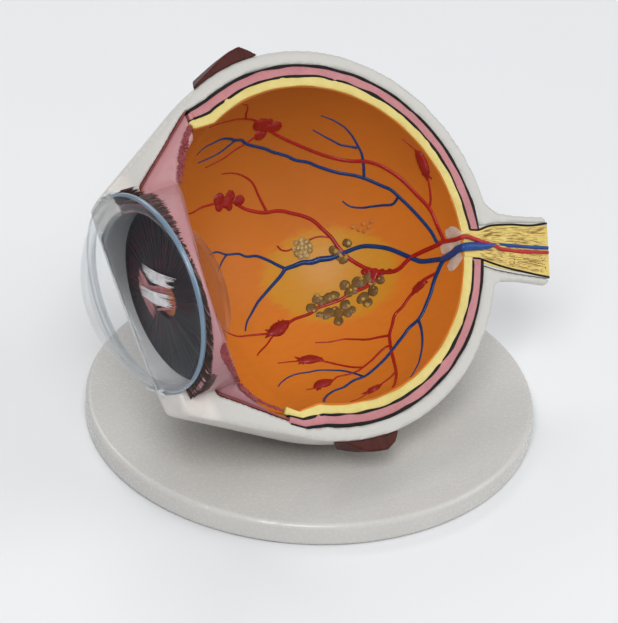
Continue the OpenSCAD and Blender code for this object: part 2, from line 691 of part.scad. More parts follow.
module cornea_dome() color("lightblue", 0.4) eye_frame() translate([0, 0, front_rise]) {
    difference() {
        translate([dome_mid_x, 0, 0]) sphere(dome_r);
        translate([dome_mid_x, 0, 0]) sphere(dome_r - dome_wall);
        translate([-rim_x - coat_gap, -far, -far]) cube(2 * far);
    }
    turned([[-rim_x - coat_gap, dome_rim_r - 2.2], [-rim_x - coat_gap, dome_rim_r],
        [-rim_x - dome_band, dome_rim_r], [-rim_x - dome_band, dome_rim_r - 2.2]]);
}

// ---------- muscle stubs ----------

// A stub on the white coat, w wide behind the cut, crowned so that it thins out there. Its
// outline is points of [degrees ahead of the top or bottom, height as a share of muscle_h];
// side is 1 above and -1 below.
module muscle(outline, side, w) {
    top_r = eye_r + max([for (p = outline) p[1]]) * muscle_h + coat_gap;
    crown_y = (top_r * top_r - eye_r * eye_r) / (2 * (w + muscle_side));
    eye_frame() difference() {
        intersection() {
            translate([0, w, 0]) rotate([90, 0, 0]) linear_extrude(w)
                polygon([for (p = outline) let (r = eye_r + p[1] * muscle_h)
                    [-r * sin(p[0]), side * r * cos(p[0])]]);
            translate([0, -crown_y, 0]) sphere(sqrt(top_r * top_r + crown_y * crown_y));
        }
        slanted_ahead_of(-eye_r * sin(outline[0][0]), muscle_slant);
        sphere(eye_r + coat_gap);
        turned([[-lip_x, 0], [-lip_x, lip_r], [-tangent_x, tangent_r + coat_gap], [0, tangent_r], [0, 0]]);
    }
}

module superior_muscle() color([0.38, 0.10, 0.09])
    muscle([[22, -1], [22, 0.1], [20.4, 0.22], [14.5, 0.42], [9.6, 0.7], [5.7, 0.92], [2.3, 1],
        [0, 0.55], [-2.2, 0.05], [-2.2, -1]], 1, upper_muscle_w);

module inferior_muscle() color([0.38, 0.10, 0.09])
    muscle([[20, -1], [20, 0.05], [15.4, 0.15], [11, 0.7], [7, 0.95], [3, 1.08], [0, 0.7],
        [-2.2, 0.05], [-2.2, -1]], -1, lower_muscle_w);

// ---------- one line for each piece ----------

foot_disc();
label_film();
mounting_screw();
sclera_shell();
suprachoroid_line();
choroid_layer();
pigment_line();
retina_layer();
retina_lining();
macula_patch();
optic_disc();
nerve_core();
nerve_line();
central_artery();
central_vein();
ciliary_body();
ciliary_border();
ciliary_strips();
iris_disc();
lens();
cornea_dome();
retinal_arteries();
retinal_veins();
round_bleeds();
flame_bleeds();
exudate_beads();
vessel_tuft();
cotton_wool_spots();
superior_muscle();
inferior_muscle();
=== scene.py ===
"""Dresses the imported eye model: painted coats, raised vessels, brushwork, clear lens and dome."""

import enum
import json
import logging
import math
import random
from collections.abc import Sequence
from dataclasses import dataclass, field

import bmesh
import bpy
import numpy as np
from mathutils import Euler, Matrix, Vector, noise

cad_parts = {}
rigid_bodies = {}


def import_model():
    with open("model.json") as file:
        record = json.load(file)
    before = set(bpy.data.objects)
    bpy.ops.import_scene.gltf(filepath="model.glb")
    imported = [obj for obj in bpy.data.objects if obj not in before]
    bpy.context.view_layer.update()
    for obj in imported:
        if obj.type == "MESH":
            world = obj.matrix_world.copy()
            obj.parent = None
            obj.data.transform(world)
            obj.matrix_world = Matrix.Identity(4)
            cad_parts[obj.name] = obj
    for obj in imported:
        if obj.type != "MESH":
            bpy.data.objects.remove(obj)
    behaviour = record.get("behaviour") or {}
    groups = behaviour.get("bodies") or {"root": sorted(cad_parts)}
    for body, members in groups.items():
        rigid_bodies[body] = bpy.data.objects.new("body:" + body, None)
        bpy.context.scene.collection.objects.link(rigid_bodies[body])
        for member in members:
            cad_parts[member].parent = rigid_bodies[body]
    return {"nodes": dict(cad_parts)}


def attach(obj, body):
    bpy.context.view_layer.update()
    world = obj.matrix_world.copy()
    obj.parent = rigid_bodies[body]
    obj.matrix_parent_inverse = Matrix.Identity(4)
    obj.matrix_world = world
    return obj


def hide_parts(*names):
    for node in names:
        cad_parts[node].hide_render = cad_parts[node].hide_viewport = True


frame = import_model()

LOG = logging.getLogger("eye_model")
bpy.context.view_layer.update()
PHOTO_WIDTH = 618  # pixels
MM = 0.001
SEAM = 1e-7  # metres within which a mesh's points are one
CAD_SEAM = 2e-6  # the same for a copy of a CAD node

Colour = tuple[float, float, float]
Range = tuple[float, float]
Route = Sequence[tuple[float, float]]
Socket = bpy.types.NodeSocket


class Body(enum.Enum):
    """The rigid body that dressed pieces ride on."""

    EYE = "eye"


class Paint(enum.Enum):
    """The record's finish slots, passed along with dressed pieces but not read."""

    WHITE = "white_coat"
    BLACK = "black_line"
    PINK = "pink_coat"
    YELLOW = "yellow_coat"
    ORANGE = "orange_lining"
    DISC = "disc_pale"
    NERVE = "nerve_yellow"
    RED = "artery_red"
    BLUE = "vein_blue"
    CILIARY = "ciliary_pink"
    DARK_RED = "dark_red"
    IRIS = "iris_brown"
    CLEAR = "clear_resin"
    OCHRE = "bead_ochre"
    GOLD = "tuft_gold"
    MUSCLE = "muscle_maroon"


# ---------- the eye's own frame ----------


@dataclass(frozen=True)
class EyeFrame:
    """The leaning eye inside the row frame. Its x runs along the eye, y into the bowl, z up the cut."""

    pivot_x: float = -2.0
    pivot_y: float = -4.0
    centre_z: float = 52.5
    lean_deg: float = 42.0

    def rows(self, points: np.ndarray) -> np.ndarray:
        """Turns points of the eye's frame into the row frame.

        Args:
            points: Any array of points in millimetres, three numbers last.

        Returns:
            The same array in metres, in the row frame.
        """
        p = np.asarray(points, float)
        lean = math.radians(self.lean_deg)
        c, s = math.cos(lean), math.sin(lean)
        x = p[..., 0] + self.pivot_x
        y = p[..., 1] * c + p[..., 2] * s + self.pivot_y
        z = -p[..., 1] * s + p[..., 2] * c + self.centre_z
        return np.stack([x, y, z], -1) * MM

    def turn(self, directions: np.ndarray) -> np.ndarray:
        """Turns directions of the eye's frame into the row frame.

        Args:
            directions: Any array of unit vectors, three numbers last.

        Returns:
            The turned vectors.
        """
        origin = np.zeros(3)
        return (self.rows(directions) - self.rows(origin)) / MM

    def mapping(self) -> tuple[tuple[float, ...], tuple[float, ...]]:
        """Gives the rotation and location of a Mapping node that reads the eye's frame in millimetres.

        Returns:
            The Euler rotation and the location.
        """
        rotation = Euler((math.radians(self.lean_deg), 0, 0))
        centre = Vector((self.pivot_x, self.pivot_y, self.centre_z))
        centre.rotate(rotation)
        return tuple(rotation), tuple(-centre)


EYE = EyeFrame()


@dataclass(frozen=True)
class Mouth:
    """The bowl's front end, where each coat leaves its sphere and opens a little wider."""

    start_x: float = 16.0
    end_x: float = 21.8
    flare: float = 1.5
    gain: float = 0.34
    outer_r: float = 44.4

    def end_r(self, coat_r: float) -> float:
        """Gives the mouth's radius for a coat whose sphere has radius coat_r."""
        return math.sqrt(coat_r**2 - self.end_x**2) + self.flare + self.gain * (self.outer_r - coat_r)

    def end_deg(self, coat_r: float) -> float:
        """Gives the angle from the eye's back at which a coat ends."""
        return math.degrees(math.atan2(self.end_r(coat_r), -self.end_x))

    def reach(self, coat_r: float, angle: float) -> float:
        """Measures how far a coat lies from the eye's middle.

        Args:
            coat_r: The radius of the coat's sphere.
            angle: Degrees from the eye's back, up or down.

        Returns:
            The distance in millimetres.
        """
        turn = min(abs(angle), self.end_deg(coat_r))
        ahead, aside = -math.cos(math.radians(turn)), math.sin(math.radians(turn))
        if coat_r * ahead < self.start_x:
            return coat_r
        seam_r = math.sqrt(coat_r**2 - self.start_x**2)
        slope = (self.end_r(coat_r) - seam_r) / (self.end_x - self.start_x)
        return (seam_r - slope * self.start_x) / (aside - slope * ahead)


MOUTH = Mouth()


def toward(lon: float, lat: float) -> np.ndarray:
    """Gives the direction of a place in the bowl.

    Args:
        lon: Degrees from the bottom of the bowl, towards the nerve.
        lat: Degrees above the eye's level.

    Returns:
        A unit vector in the eye's frame.
    """
    a, b = math.radians(lon), math.radians(lat)
    return np.array([math.sin(a) * math.cos(b), math.cos(a) * math.cos(b), math.sin(b)])


def eased(points: np.ndarray, parts: int = 4) -> np.ndarray:
    """Draws a smooth curve through points.

    Args:
        points: The points to pass through, one to a row.
        parts: How many steps each span gets.

    Returns:
        The denser points.
    """
    p = np.asarray(points, float)
    if len(p) < 3:
        return np.array([p[0] + (p[-1] - p[0]) * t for t in np.linspace(0, 1, parts + 1)])
    q = np.vstack([2 * p[0] - p[1], p, 2 * p[-1] - p[-2]])
    out = []
    for i in range(1, len(q) - 2):
        a, b, c, d = q[i - 1], q[i], q[i + 1], q[i + 2]
        for t in np.arange(parts) / parts:
            out.append(0.5 * (2 * b + (c - a) * t + (2 * a - 5 * b + 4 * c - d) * t**2
                              + (3 * b - a - 3 * c + d) * t**3))
    out.append(p[-1])
    return np.array(out)


def ways_of(route: Route, parts: int = 5) -> np.ndarray:
    """Gives directions along a smooth curve through places in the bowl.

    Args:
        route: The places, as (lon, lat).
        parts: How many steps each span gets.

    Returns:
        Unit vectors in the eye's frame, one to a row.
    """
    return np.array([toward(*place) for place in eased(np.array(route, float), parts)])


def wander(value: float, seed: float, scale: float = 1.0) -> float:
    """Gives a smooth random number for a hand-painted edge.

    Args:
        value: Where along the edge.
        seed: Which edge.
        scale: How fast it changes.

    Returns:
        A number from about -1 to 1.
    """
    return 2 * noise.noise(Vector((value * scale, seed * 7.31, seed * 1.7)))


# ---------- materials ----------

NOISE = (0.3, 0.7)  # the part of its range that a noise really fills
CLOUDS = (0.35, 0.65)  # the same for slow noise


class Shader:
    """Builds one node material around a Principled shader."""

    def __init__(self, name: str) -> None:
        """Starts an empty material."""
        self.material = bpy.data.materials.new(name)
        self.material.use_nodes = True
        self.tree = self.material.node_tree
        self.bsdf = self.tree.nodes["Principled BSDF"]

    def node(self, kind: str, **sockets: object) -> bpy.types.Node:
        """Adds a node.

        Args:
            kind: The node's type.
            sockets: Values or output sockets for its inputs; names in lower case set properties.

        Returns:
            The new node.
        """
        made = self.tree.nodes.new(kind)
        for name, value in sockets.items():
            if name[0].islower():
                setattr(made, name, value)
        for name, value in sockets.items():
            if not name[0].islower():
                self.feed(made.inputs[name.replace("_", " ")], value)
        return made

    def feed(self, socket: Socket, value: object) -> None:
        """Links an output to a socket, or sets the socket's own value.

        Args:
            socket: The socket.
            value: An output socket or a value.
        """
        if isinstance(value, bpy.types.NodeSocket):
            self.tree.links.new(value, socket)
        else:
            socket.default_value = value

    def eye_space(self, stretch: Colour = (1, 1, 1)) -> Socket:
        """Gives the eye's frame in millimetres.

        Args:
            stretch: Factors along its three axes.

        Returns:
            The vector socket.
        """
        rotation, location = EYE.mapping()
        coords = self.node("ShaderNodeTexCoord").outputs["Object"]
        to_mm = self.node("ShaderNodeVectorMath", operation="SCALE", Scale=1 / MM)
        self.feed(to_mm.inputs[0], coords)
        eye = self.node("ShaderNodeMapping", Vector=to_mm.outputs[0], Rotation=rotation, Location=location)
        return self.node("ShaderNodeMapping", Vector=eye.outputs[0], Scale=stretch).outputs[0]

    def axes(self, space: Socket) -> bpy.types.bpy_prop_collection:
        """Splits a vector into its X, Y and Z."""
        return self.node("ShaderNodeSeparateXYZ", Vector=space).outputs

    def speckle(self, vector: Socket, scale: float, detail: float = 4.0, rough: float = 0.55) -> Socket:
        """Adds noise and gives its value."""
        return self.node("ShaderNodeTexNoise", Vector=vector, Scale=scale, Detail=detail,
                         Roughness=rough).outputs["Fac"]

    def span(self, value: Socket, low: float, high: float, out_low: float = 0.0, out_high: float = 1.0,
             kind: str = "LINEAR") -> Socket:
        """Maps a value from one range to another."""
        return self.node("ShaderNodeMapRange", interpolation_type=kind, Value=value, From_Min=low,
                         From_Max=high, To_Min=out_low, To_Max=out_high).outputs["Result"]

    def blend(self, factor: object, first: object, second: object) -> Socket:
        """Mixes two colours.

        Args:
            factor: How much of the second, as a number or a socket.
            first: A colour or a socket.
            second: A colour or a socket.

        Returns:
            The mixed colour.
        """
        made = self.node("ShaderNodeMix", data_type="RGBA")
        for index, value in ((0, factor), (6, first), (7, second)):
            self.feed(made.inputs[index], (*value, 1.0) if isinstance(value, tuple) else value)
        return made.outputs[2]

    def maths(self, operation: str, *values: object) -> Socket:
        """Adds a Math node.

        Args:
            operation: What it does.
            values: Numbers or sockets for its inputs, in order.

        Returns:
            Its output socket.
        """
        made = self.node("ShaderNodeMath", operation=operation)
        for socket, value in zip(made.inputs, values):
            self.feed(socket, value)
        return made.outputs[0]

    def both(self, first: Socket, second: object) -> Socket:
        """Multiplies two masks."""
        return self.maths("MULTIPLY", first, second)

    def hypot(self, first: Socket, second: Socket) -> Socket:
        """Adds two lengths that stand square to each other."""
        squares = [self.maths("POWER", value, 2.0) for value in (first, second)]
        return self.maths("SQRT", self.maths("ADD", *squares))

    def off_axis(self, axes: bpy.types.bpy_prop_collection, rise: float = 0.0) -> Socket:
        """Measures how far a point lies from the eye's axis, or from one that much above it."""
        return self.hypot(axes["Y"], self.maths("SUBTRACT", axes["Z"], rise))

    def relief(self, height: Socket, depth_mm: float) -> None:
        """Turns a height into bump on the Principled shader."""
        self.plain(Normal=self.node("ShaderNodeBump", Height=height, Distance=depth_mm * MM,
                                    Strength=1.0).outputs[0])

    def plain(self, **sockets: object) -> None:
        """Sets the Principled shader's own sockets."""
        for name, value in sockets.items():
            self.feed(self.bsdf.inputs[name.replace("_", " ")], value)


@dataclass(frozen=True)
class BrushedPaint:
    """Hand-brushed paint: two close colours in streaks, a little relief and uneven gloss."""

    name: str
    base: Colour
    shade: Colour
    grain: float = 0.6
    stretch: Colour = (1, 1, 1)
    roughness: float = 0.38
    spread: float = 0.14
    depth_mm: float = 0.06
    coat: float = 0.0
    shine: float = 0.3
    metal: float = 0.0

    def build(self) -> bpy.types.Material:
        """Makes the material.

        Returns:
            The finished material.
        """
        s = Shader(self.name)
        space = s.eye_space(self.stretch)
        broad = s.speckle(space, self.grain * 0.25, 3.0)
        fine = s.speckle(space, self.grain * 2.2, 6.0, 0.62)
        mixed = s.maths("ADD", s.both(broad, 0.6), s.both(fine, 0.4))
        s.plain(Base_Color=s.blend(s.span(mixed, 0.36, 0.64), self.base, self.shade),
                Roughness=s.span(fine, *NOISE, self.roughness - self.spread, self.roughness + self.spread),
                Coat_Weight=self.coat, Coat_Roughness=0.12, Specular_IOR_Level=self.shine,
                Metallic=self.metal)
        s.relief(fine, self.depth_mm)
        return s.material


@dataclass(frozen=True)
class WhitePaint:
    """White coat: warm outside. Painted shade makes it darker and a little cooler on the cut face, and grey
    inside the opening behind the dome, darkest at its top.
    """

    name: str = "white_coat"
    warm: Colour = (0.66, 0.62, 0.58)
    shade: Colour = (0.58, 0.54, 0.50)
    # Painted shade: the cut face gets a darker colour than the outside.
    shaded_cut_face: Colour = (0.52, 0.505, 0.47)
    cut_depth: Range = (0.15, 0.7)
    cut_x: Range = (-44.0, -42.0)
    # Painted shade behind the dome: dark grey at the top, lighter grey below.
    chamber_shade_top: Colour = (0.22, 0.225, 0.23)
    chamber_shade_low: Colour = (0.60, 0.60, 0.60)
    chamber_z: Range = (-14.0, 10.0)
    chamber_r: float = 22.3
    chamber_x: float = -41.0
    chamber_edge: float = 0.5

    def build(self) -> bpy.types.Material:
        """Makes the material.

        Returns:
            The finished material.
        """
        s = Shader(self.name)
        space = s.eye_space()
        axes = s.axes(space)
        fine = s.speckle(space, 0.9, 5.0, 0.6)
        warm = s.blend(s.span(s.speckle(space, 0.12, 3.0), *CLOUDS), self.warm, self.shade)
        on_cut = s.both(s.span(axes["Y"], *self.cut_depth, 1.0, 0.0), s.span(axes["X"], *self.cut_x))
        # Painted shade: the cut face takes its darker colour.
        white = s.blend(on_cut, warm, self.shaded_cut_face)
        within = s.span(s.off_axis(axes), self.chamber_r, self.chamber_r + self.chamber_edge, 1.0, 0.0)
        ahead = s.span(axes["X"], self.chamber_x - self.chamber_edge, self.chamber_x, 1.0, 0.0)
        # Painted shade inside the opening behind the dome, darker towards its top.
        grey = s.blend(s.span(axes["Z"], *self.chamber_z), self.chamber_shade_low, self.chamber_shade_top)
        s.plain(Base_Color=s.blend(s.both(within, ahead), white, grey), Coat_Weight=0.15,
                Roughness=s.span(fine, *NOISE, 0.26, 0.42), Coat_Roughness=0.15)
        s.relief(fine, 0.09)
        return s.material


@dataclass(frozen=True)
class BowlPaint:
    """The orange lining: browner above and brighter below as painted shade, with darker dabs and the brushed
    yellow patch.
    """

    name: str = "bowl_paint"
    # Painted shade: bright orange below, turning browner towards the top; the brown also colours the real
    # darker dabs.
    lit_orange: Colour = (0.67, 0.205, 0.022)
    deep_dabs_and_shade: Colour = (0.41, 0.130, 0.018)
    shade_fade_z: Range = (-16.0, 42.0)
    patch: Colour = (0.60, 0.275, 0.018)
    patch_pale: Colour = (0.56, 0.31, 0.032)
    patch_at: tuple[float, float] = (30.0, -9.5)
    patch_long: float = 17.5
    patch_wide: float = 12.4
    patch_turn: float = -16.0
    patch_edge: Range = (0.84, 1.06)
    patch_cover: float = 0.88
    radius: float = 38.8

    def build(self) -> bpy.types.Material:
        """Makes the material.

        Returns:
            The finished material.
        """
        s = Shader(self.name)
        space = s.eye_space()
        dabs = s.speckle(s.eye_space((0.5, 0.5, 1.6)), 0.5, 6.0, 0.62)
        orange = self.ground(s, s.axes(space), s.speckle(space, 0.05, 2.0), dabs)
        inside = self.patch_mask(s, space, dabs)
        yellow = s.blend(s.span(dabs, 0.40, 0.66), self.patch, self.patch_pale)
        s.plain(Base_Color=s.blend(inside, orange, yellow), Roughness=s.span(inside, 0, 1, 0.46, 0.38),
                Coat_Weight=0.03, Coat_Roughness=0.3, Specular_IOR_Level=0.2)
        s.relief(dabs, 0.05)
        return s.material

    def ground(self, s: Shader, axes: bpy.types.bpy_prop_collection, broad: Socket, dabs: Socket) -> Socket:
        """Mixes the orange ground, browner towards the top as painted shade, with darker dabs.

        Args:
            s: The shader being built.
            axes: The eye's X, Y and Z.
            broad: Slow noise.
            dabs: Quick noise.

        Returns:
            The colour.
        """
        height = s.maths("ADD", axes["Z"], s.span(broad, *NOISE, -4, 4))
        # Painted shade: darker towards the top of the bowl.
        orange = s.blend(s.span(height, *self.shade_fade_z), self.lit_orange, self.deep_dabs_and_shade)
        return s.blend(s.span(dabs, 0.46, 0.70, 0.0, 0.14), orange, self.deep_dabs_and_shade)

    def patch_mask(self, s: Shader, space: Socket, dabs: Socket) -> Socket:
        """Marks the yellow patch, a turned oval with a brushed edge.

        Args:
            s: The shader being built.
            space: The eye's frame.
            dabs: Quick noise that roughens its edge.

        Returns:
            A value that is 1 inside the patch.
        """
        lon, lat = self.patch_at
        middle = toward(lon, lat) * self.radius
        level, upright = toward(lon + 90, 0.0), toward(lon, lat + 90)
        turn = math.radians(self.patch_turn)
        offsets = []
        for way, size in ((level * math.cos(turn) + upright * math.sin(turn), self.patch_long),
                          (upright * math.cos(turn) - level * math.sin(turn), self.patch_wide)):
            made = s.node("ShaderNodeVectorMath", operation="DOT_PRODUCT")
            s.feed(made.inputs[0], space)
            s.feed(made.inputs[1], tuple(way / size))
            offsets.append(s.maths("SUBTRACT", made.outputs["Value"], float(middle @ way) / size))
        ragged = s.maths("ADD", s.hypot(*offsets), s.span(dabs, *NOISE, -0.08, 0.08))
        return s.span(ragged, *self.patch_edge, self.patch_cover, 0.0, "SMOOTHSTEP")


@dataclass(frozen=True)
class CiliaryPaint:
    """Pink ring and wedge, mauve below, orange in the hollow and dark in front, inside the dome."""

    name: str = "ciliary_pink"
    pink: Colour = (0.44, 0.205, 0.215)
    mauve: Colour = (0.30, 0.125, 0.145)
    mauve_z: Range = (-2.0, -24.0)
    dark: Colour = (0.012, 0.006, 0.008)
    dark_x: float = -48.3
    dark_r: float = 24.0
    dark_rise: float = 2.4
    inside_y: Range = (0.55, 0.95)
    lining: BowlPaint = field(default_factory=BowlPaint)

    def build(self) -> bpy.types.Material:
        """Makes the material.

        Returns:
            The finished material.
        """
        s = Shader(self.name)
        space = s.eye_space()
        axes = s.axes(space)
        broad = s.speckle(space, 0.10, 3.0)
        dabs = s.speckle(space, 0.5, 6.0, 0.62)
        low = s.span(s.maths("ADD", axes["Z"], s.span(broad, *NOISE, -5, 5)), *self.mauve_z)
        pink = s.blend(s.both(low, 0.8), self.pink, self.mauve)
        pink = s.blend(s.span(dabs, 0.5, 0.75, 0.0, 0.3), pink, self.mauve)
        inside = s.span(s.maths("ADD", axes["Y"], s.span(dabs, *NOISE, -0.2, 0.2)), *self.inside_y)
        # The hollow's orange carries the lining's painted shade, browner towards the top.
        body = s.blend(inside, pink, self.lining.ground(s, axes, broad, dabs))
        reach = s.off_axis(axes, self.dark_rise)
        front = s.both(s.span(axes["X"], self.dark_x - 0.2, self.dark_x + 0.2, 1.0, 0.0),
                       s.span(reach, self.dark_r - 0.2, self.dark_r + 0.1, 1.0, 0.0))
        s.plain(Base_Color=s.blend(front, body, self.dark), Roughness=s.span(dabs, *NOISE, 0.28, 0.42),
                Coat_Weight=0.2, Coat_Roughness=0.15)
        s.relief(dabs, 0.05)
        return s.material


@dataclass(frozen=True)
class IrisPaint:
    """Dark iris paint with fine radial streaks: reddish above and at the side, grey below."""

    name: str = "iris_paint"
    dark: Colour = (0.006, 0.003, 0.005)
    red: Colour = (0.12, 0.012, 0.024)
    grey: Colour = (0.030, 0.028, 0.031)
    streaks: float = 34.0

    def build(self) -> bpy.types.Material:
        """Makes the material.

        Returns:
            The finished material.
        """
        s = Shader(self.name)
        space = s.eye_space()
        axes = s.axes(space)
        angle = s.maths("ARCTAN2", axes["Y"], axes["Z"])
        polar = s.node("ShaderNodeCombineXYZ", X=s.both(angle, self.streaks), Y=s.both(s.off_axis(axes), 0.2))
        rays = s.speckle(polar.outputs[0], 1.0, 6.0, 0.7)
        patches = s.speckle(space, 0.16, 3.0)
        height = s.maths("ADD", axes["Z"], s.span(patches, *NOISE, -3, 3))
        ground = s.blend(s.span(height, -1.5, -8.0), self.dark, self.grey)
        strength = s.both(s.span(rays, 0.50, 0.68), s.span(patches, 0.36, 0.56))
        strength = s.both(strength, s.span(height, -14, -4))
        s.plain(Base_Color=s.blend(strength, ground, self.red), Roughness=0.5, Coat_Weight=0.04,
                Coat_Roughness=0.2, Specular_IOR_Level=0.15)
        s.relief(rays, 0.10)
        return s.material


@dataclass(frozen=True)
class ClearCast:
    """Clear cast resin: see-through in the middle, denser edge on, with a tinted band at its rim."""

    name: str
    tint: Colour
    clear: float
    edge: float
    power: float = 2.0
    edge_tint: Colour | None = None
    band_x: float | None = None
    band_tint: Colour = (0.17, 0.27, 0.38)
    band_alpha: float = 0.8
    band_r: float = 23.9
    band_rise: float = 2.4
    band_near_y: Range = (-6.0, 9.0)

    def build(self) -> bpy.types.Material:
        """Makes the material.

        Returns:
            The finished material.
        """
        s = Shader(self.name)
        slant = s.maths("POWER", s.node("ShaderNodeLayerWeight", Blend=0.5).outputs["Facing"], self.power)
        haze = s.speckle(s.eye_space((0.3, 1.0, 0.3)), 0.16, 4.0, 0.6)
        alpha = s.both(s.span(slant, 0.0, 1.0, self.clear, self.edge), s.span(haze, *NOISE, 0.55, 1.45))
        colour = s.blend(slant, self.tint, self.edge_tint or self.tint)
        if self.band_x is not None:
            band = self.band_mask(s)
            alpha = s.maths("ADD", s.both(alpha, s.maths("SUBTRACT", 1.0, band)),
                            s.both(band, self.band_alpha))
            colour = s.blend(band, colour, self.band_tint)
        s.plain(Base_Color=colour, Alpha=alpha, Roughness=0.05, IOR=1.49, Coat_Weight=1.0,
                Coat_Roughness=0.03)
        return s.material

    def band_mask(self, s: Shader) -> Socket:
        """Marks the outside of the rim, weaker on the far side.

        Args:
            s: The shader being built.

        Returns:
            A value that is 1 on the band.
        """
        axes = s.axes(s.eye_space())
        behind = s.span(axes["X"], self.band_x - 0.25, self.band_x + 0.1)
        near = s.span(axes["Y"], *self.band_near_y, 1.0, 0.25)
        outside = s.span(s.off_axis(axes, self.band_rise), self.band_r - 0.2, self.band_r)
        return s.both(s.both(behind, near), outside)


@dataclass(frozen=True)
class FootResin:
    """Milky acrylic with a faint glow under its skin and fine polishing marks."""

    name: str = "milky_acrylic"
    base: Colour = (0.55, 0.535, 0.51)
    paler: float = 1.06

    def build(self) -> bpy.types.Material:
        """Makes the material.

        Returns:
            The finished material.
        """
        s = Shader(self.name)
        space = s.eye_space()
        marks = s.speckle(space, 1.4, 6.0, 0.7)
        pale = tuple(min(1.0, c * self.paler) for c in self.base)
        s.plain(Base_Color=s.blend(s.span(s.speckle(space, 0.03, 3.0), *CLOUDS), self.base, pale),
                Roughness=s.span(marks, *NOISE, 0.2, 0.32), Subsurface_Weight=0.1,
                Subsurface_Radius=(1.0, 0.95, 0.9), Subsurface_Scale=0.004)
        s.relief(marks, 0.003)
        return s.material


# ---------- meshes ----------


def placed(name: str, data: bpy.types.ID) -> bpy.types.Object:
    """Puts a mesh, a lamp or a camera into the scene.

    Args:
        name: The object's name.
        data: The mesh, lamp or camera.

    Returns:
        The new object.
    """
    made = bpy.data.objects.new(name, data)
    bpy.context.scene.collection.objects.link(made)
    return made


def mesh_object(name: str, points: np.ndarray, faces: list[tuple[int, ...]]) -> bpy.types.Object:
    """Makes a soft-shaded object from points of the eye's frame.

    Args:
        name: The piece's name.
        points: Its points, in millimetres.
        faces: Its faces, as indices of points.

    Returns:
        The object, with closed seams and faces that point outwards.
    """
    data = bpy.data.meshes.new(name)
    data.from_pydata([tuple(p) for p in EYE.rows(points)], [], faces)
    shape = bmesh.new()
    shape.from_mesh(data)
    bmesh.ops.remove_doubles(shape, verts=shape.verts, dist=SEAM)
    bmesh.ops.dissolve_degenerate(shape, edges=shape.edges, dist=SEAM)
    bmesh.ops.recalc_face_normals(shape, faces=shape.faces)
    shape.to_mesh(data)
    shape.free()
    data.polygons.foreach_set("use_smooth", [True] * len(data.polygons))
    return placed(name, data)


def loft(name: str, rings: np.ndarray, closed: bool = False) -> bpy.types.Object:
    """Skins a row of closed rings.

    Args:
        name: The piece's name.
        rings: Points of the eye's frame, as rings by points by three.
        closed: True if the last ring joins the first; otherwise both ends are capped.

    Returns:
        The object.
    """
    n, m = rings.shape[:2]
    faces = []
    for i in range(n if closed else n - 1):
        here, there = i * m, (i + 1) % n * m
        faces += [(here + k, here + (k + 1) % m, there + (k + 1) % m, there + k) for k in range(m)]
    if not closed:
        faces += [tuple(range(m)), tuple(range((n - 1) * m, n * m))]
    return mesh_object(name, rings.reshape(-1, 3), faces)


def turned(name: str, profile: list[tuple[float, float]], steps: int, rise: float) -> bpy.types.Object:
    """Turns a closed profile round the eye's axis.

    Args:
        name: The piece's name.
        profile: Points of (x, radius) in millimetres.
        steps: How many steps make the round.
        rise: How far the axis lies above the eye's own.

    Returns:
        The object.
    """
    x, r = np.array(profile).T
    rings = [np.stack([x, r * math.cos(a), r * math.sin(a) + rise], -1)
             for a in np.linspace(0, 2 * math.pi, steps, endpoint=False)]
    return loft(name, np.array(rings), closed=True)


def softened(node: str, name: str, voxel_mm: float, rounds: int) -> bpy.types.Object:
    """Makes a copy of a CAD node whose edges are worn round, as hand-finished resin is.

    Args:
        node: The CAD node to copy.
        name: The new piece's name.
        voxel_mm: The remesh size.
        rounds: How many rounds of smoothing.

    Returns:
        The new object, which replaces the node.
    """
    data = frame["nodes"][node].data.copy()
    shape = bmesh.new()
    shape.from_mesh(data)
    bmesh.ops.remove_doubles(shape, verts=shape.verts, dist=CAD_SEAM)
    shape.to_mesh(data)
    shape.free()
    source = placed(name + "_source", data)
    remesh = source.modifiers.new("remesh", "REMESH")
    remesh.mode = "VOXEL"
    remesh.voxel_size = voxel_mm * MM
    remesh.use_smooth_shade = True
    relax = source.modifiers.new("relax", "SMOOTH")
    relax.factor = 0.5
    relax.iterations = rounds
    made = baked(source, name)
    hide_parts(node)
    return made


def baked(source: bpy.types.Object, name: str) -> bpy.types.Object:
    """Turns an object with live modifiers into a plain mesh and drops the object.

    Args:
        source: The object with modifiers.
        name: The new piece's name.

    Returns:
        The plain object.
    """
    graph = bpy.context.evaluated_depsgraph_get()
    data = bpy.data.meshes.new_from_object(source.evaluated_get(graph))
    data.name = name
    bpy.data.objects.remove(source)
    return placed(name, data)


def dress(piece: bpy.types.Object, material: bpy.types.Material, slot: Paint, *replaces: str) -> None:
    """Gives a piece of the eye its material, hides the CAD nodes it stands for and puts it on the eye's body.

    Args:
        piece: The finished piece.
        material: Its material.
        slot: The record's slot that its finish comes from; not used.
        replaces: The CAD nodes it stands for.
    """
    piece.data.materials.clear()
    piece.data.materials.append(material)
    if replaces:
        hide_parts(*replaces)
    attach(piece, Body.EYE.value)
    LOG.info("%s: %d faces on %s", piece.name, len(piece.data.polygons), Body.EYE.value)


def repaint(node: str, material: bpy.types.Material) -> None:
    """Gives a CAD node a better material.

    Args:
        node: The node's name.
        material: Its material.
    """
    data = frame["nodes"][node].data
    data.materials.clear()
    data.materials.append(material)
    data.polygons.foreach_set("material_index", [0] * len(data.polygons))
    LOG.info("%s repainted", node)


# ---------- geometry nodes ----------


@dataclass
class Stroke:
    """One line of paint: its points and outward directions in the eye's frame, and its half widths."""

    points: np.ndarray
    ups: np.ndarray
    halves: np.ndarray


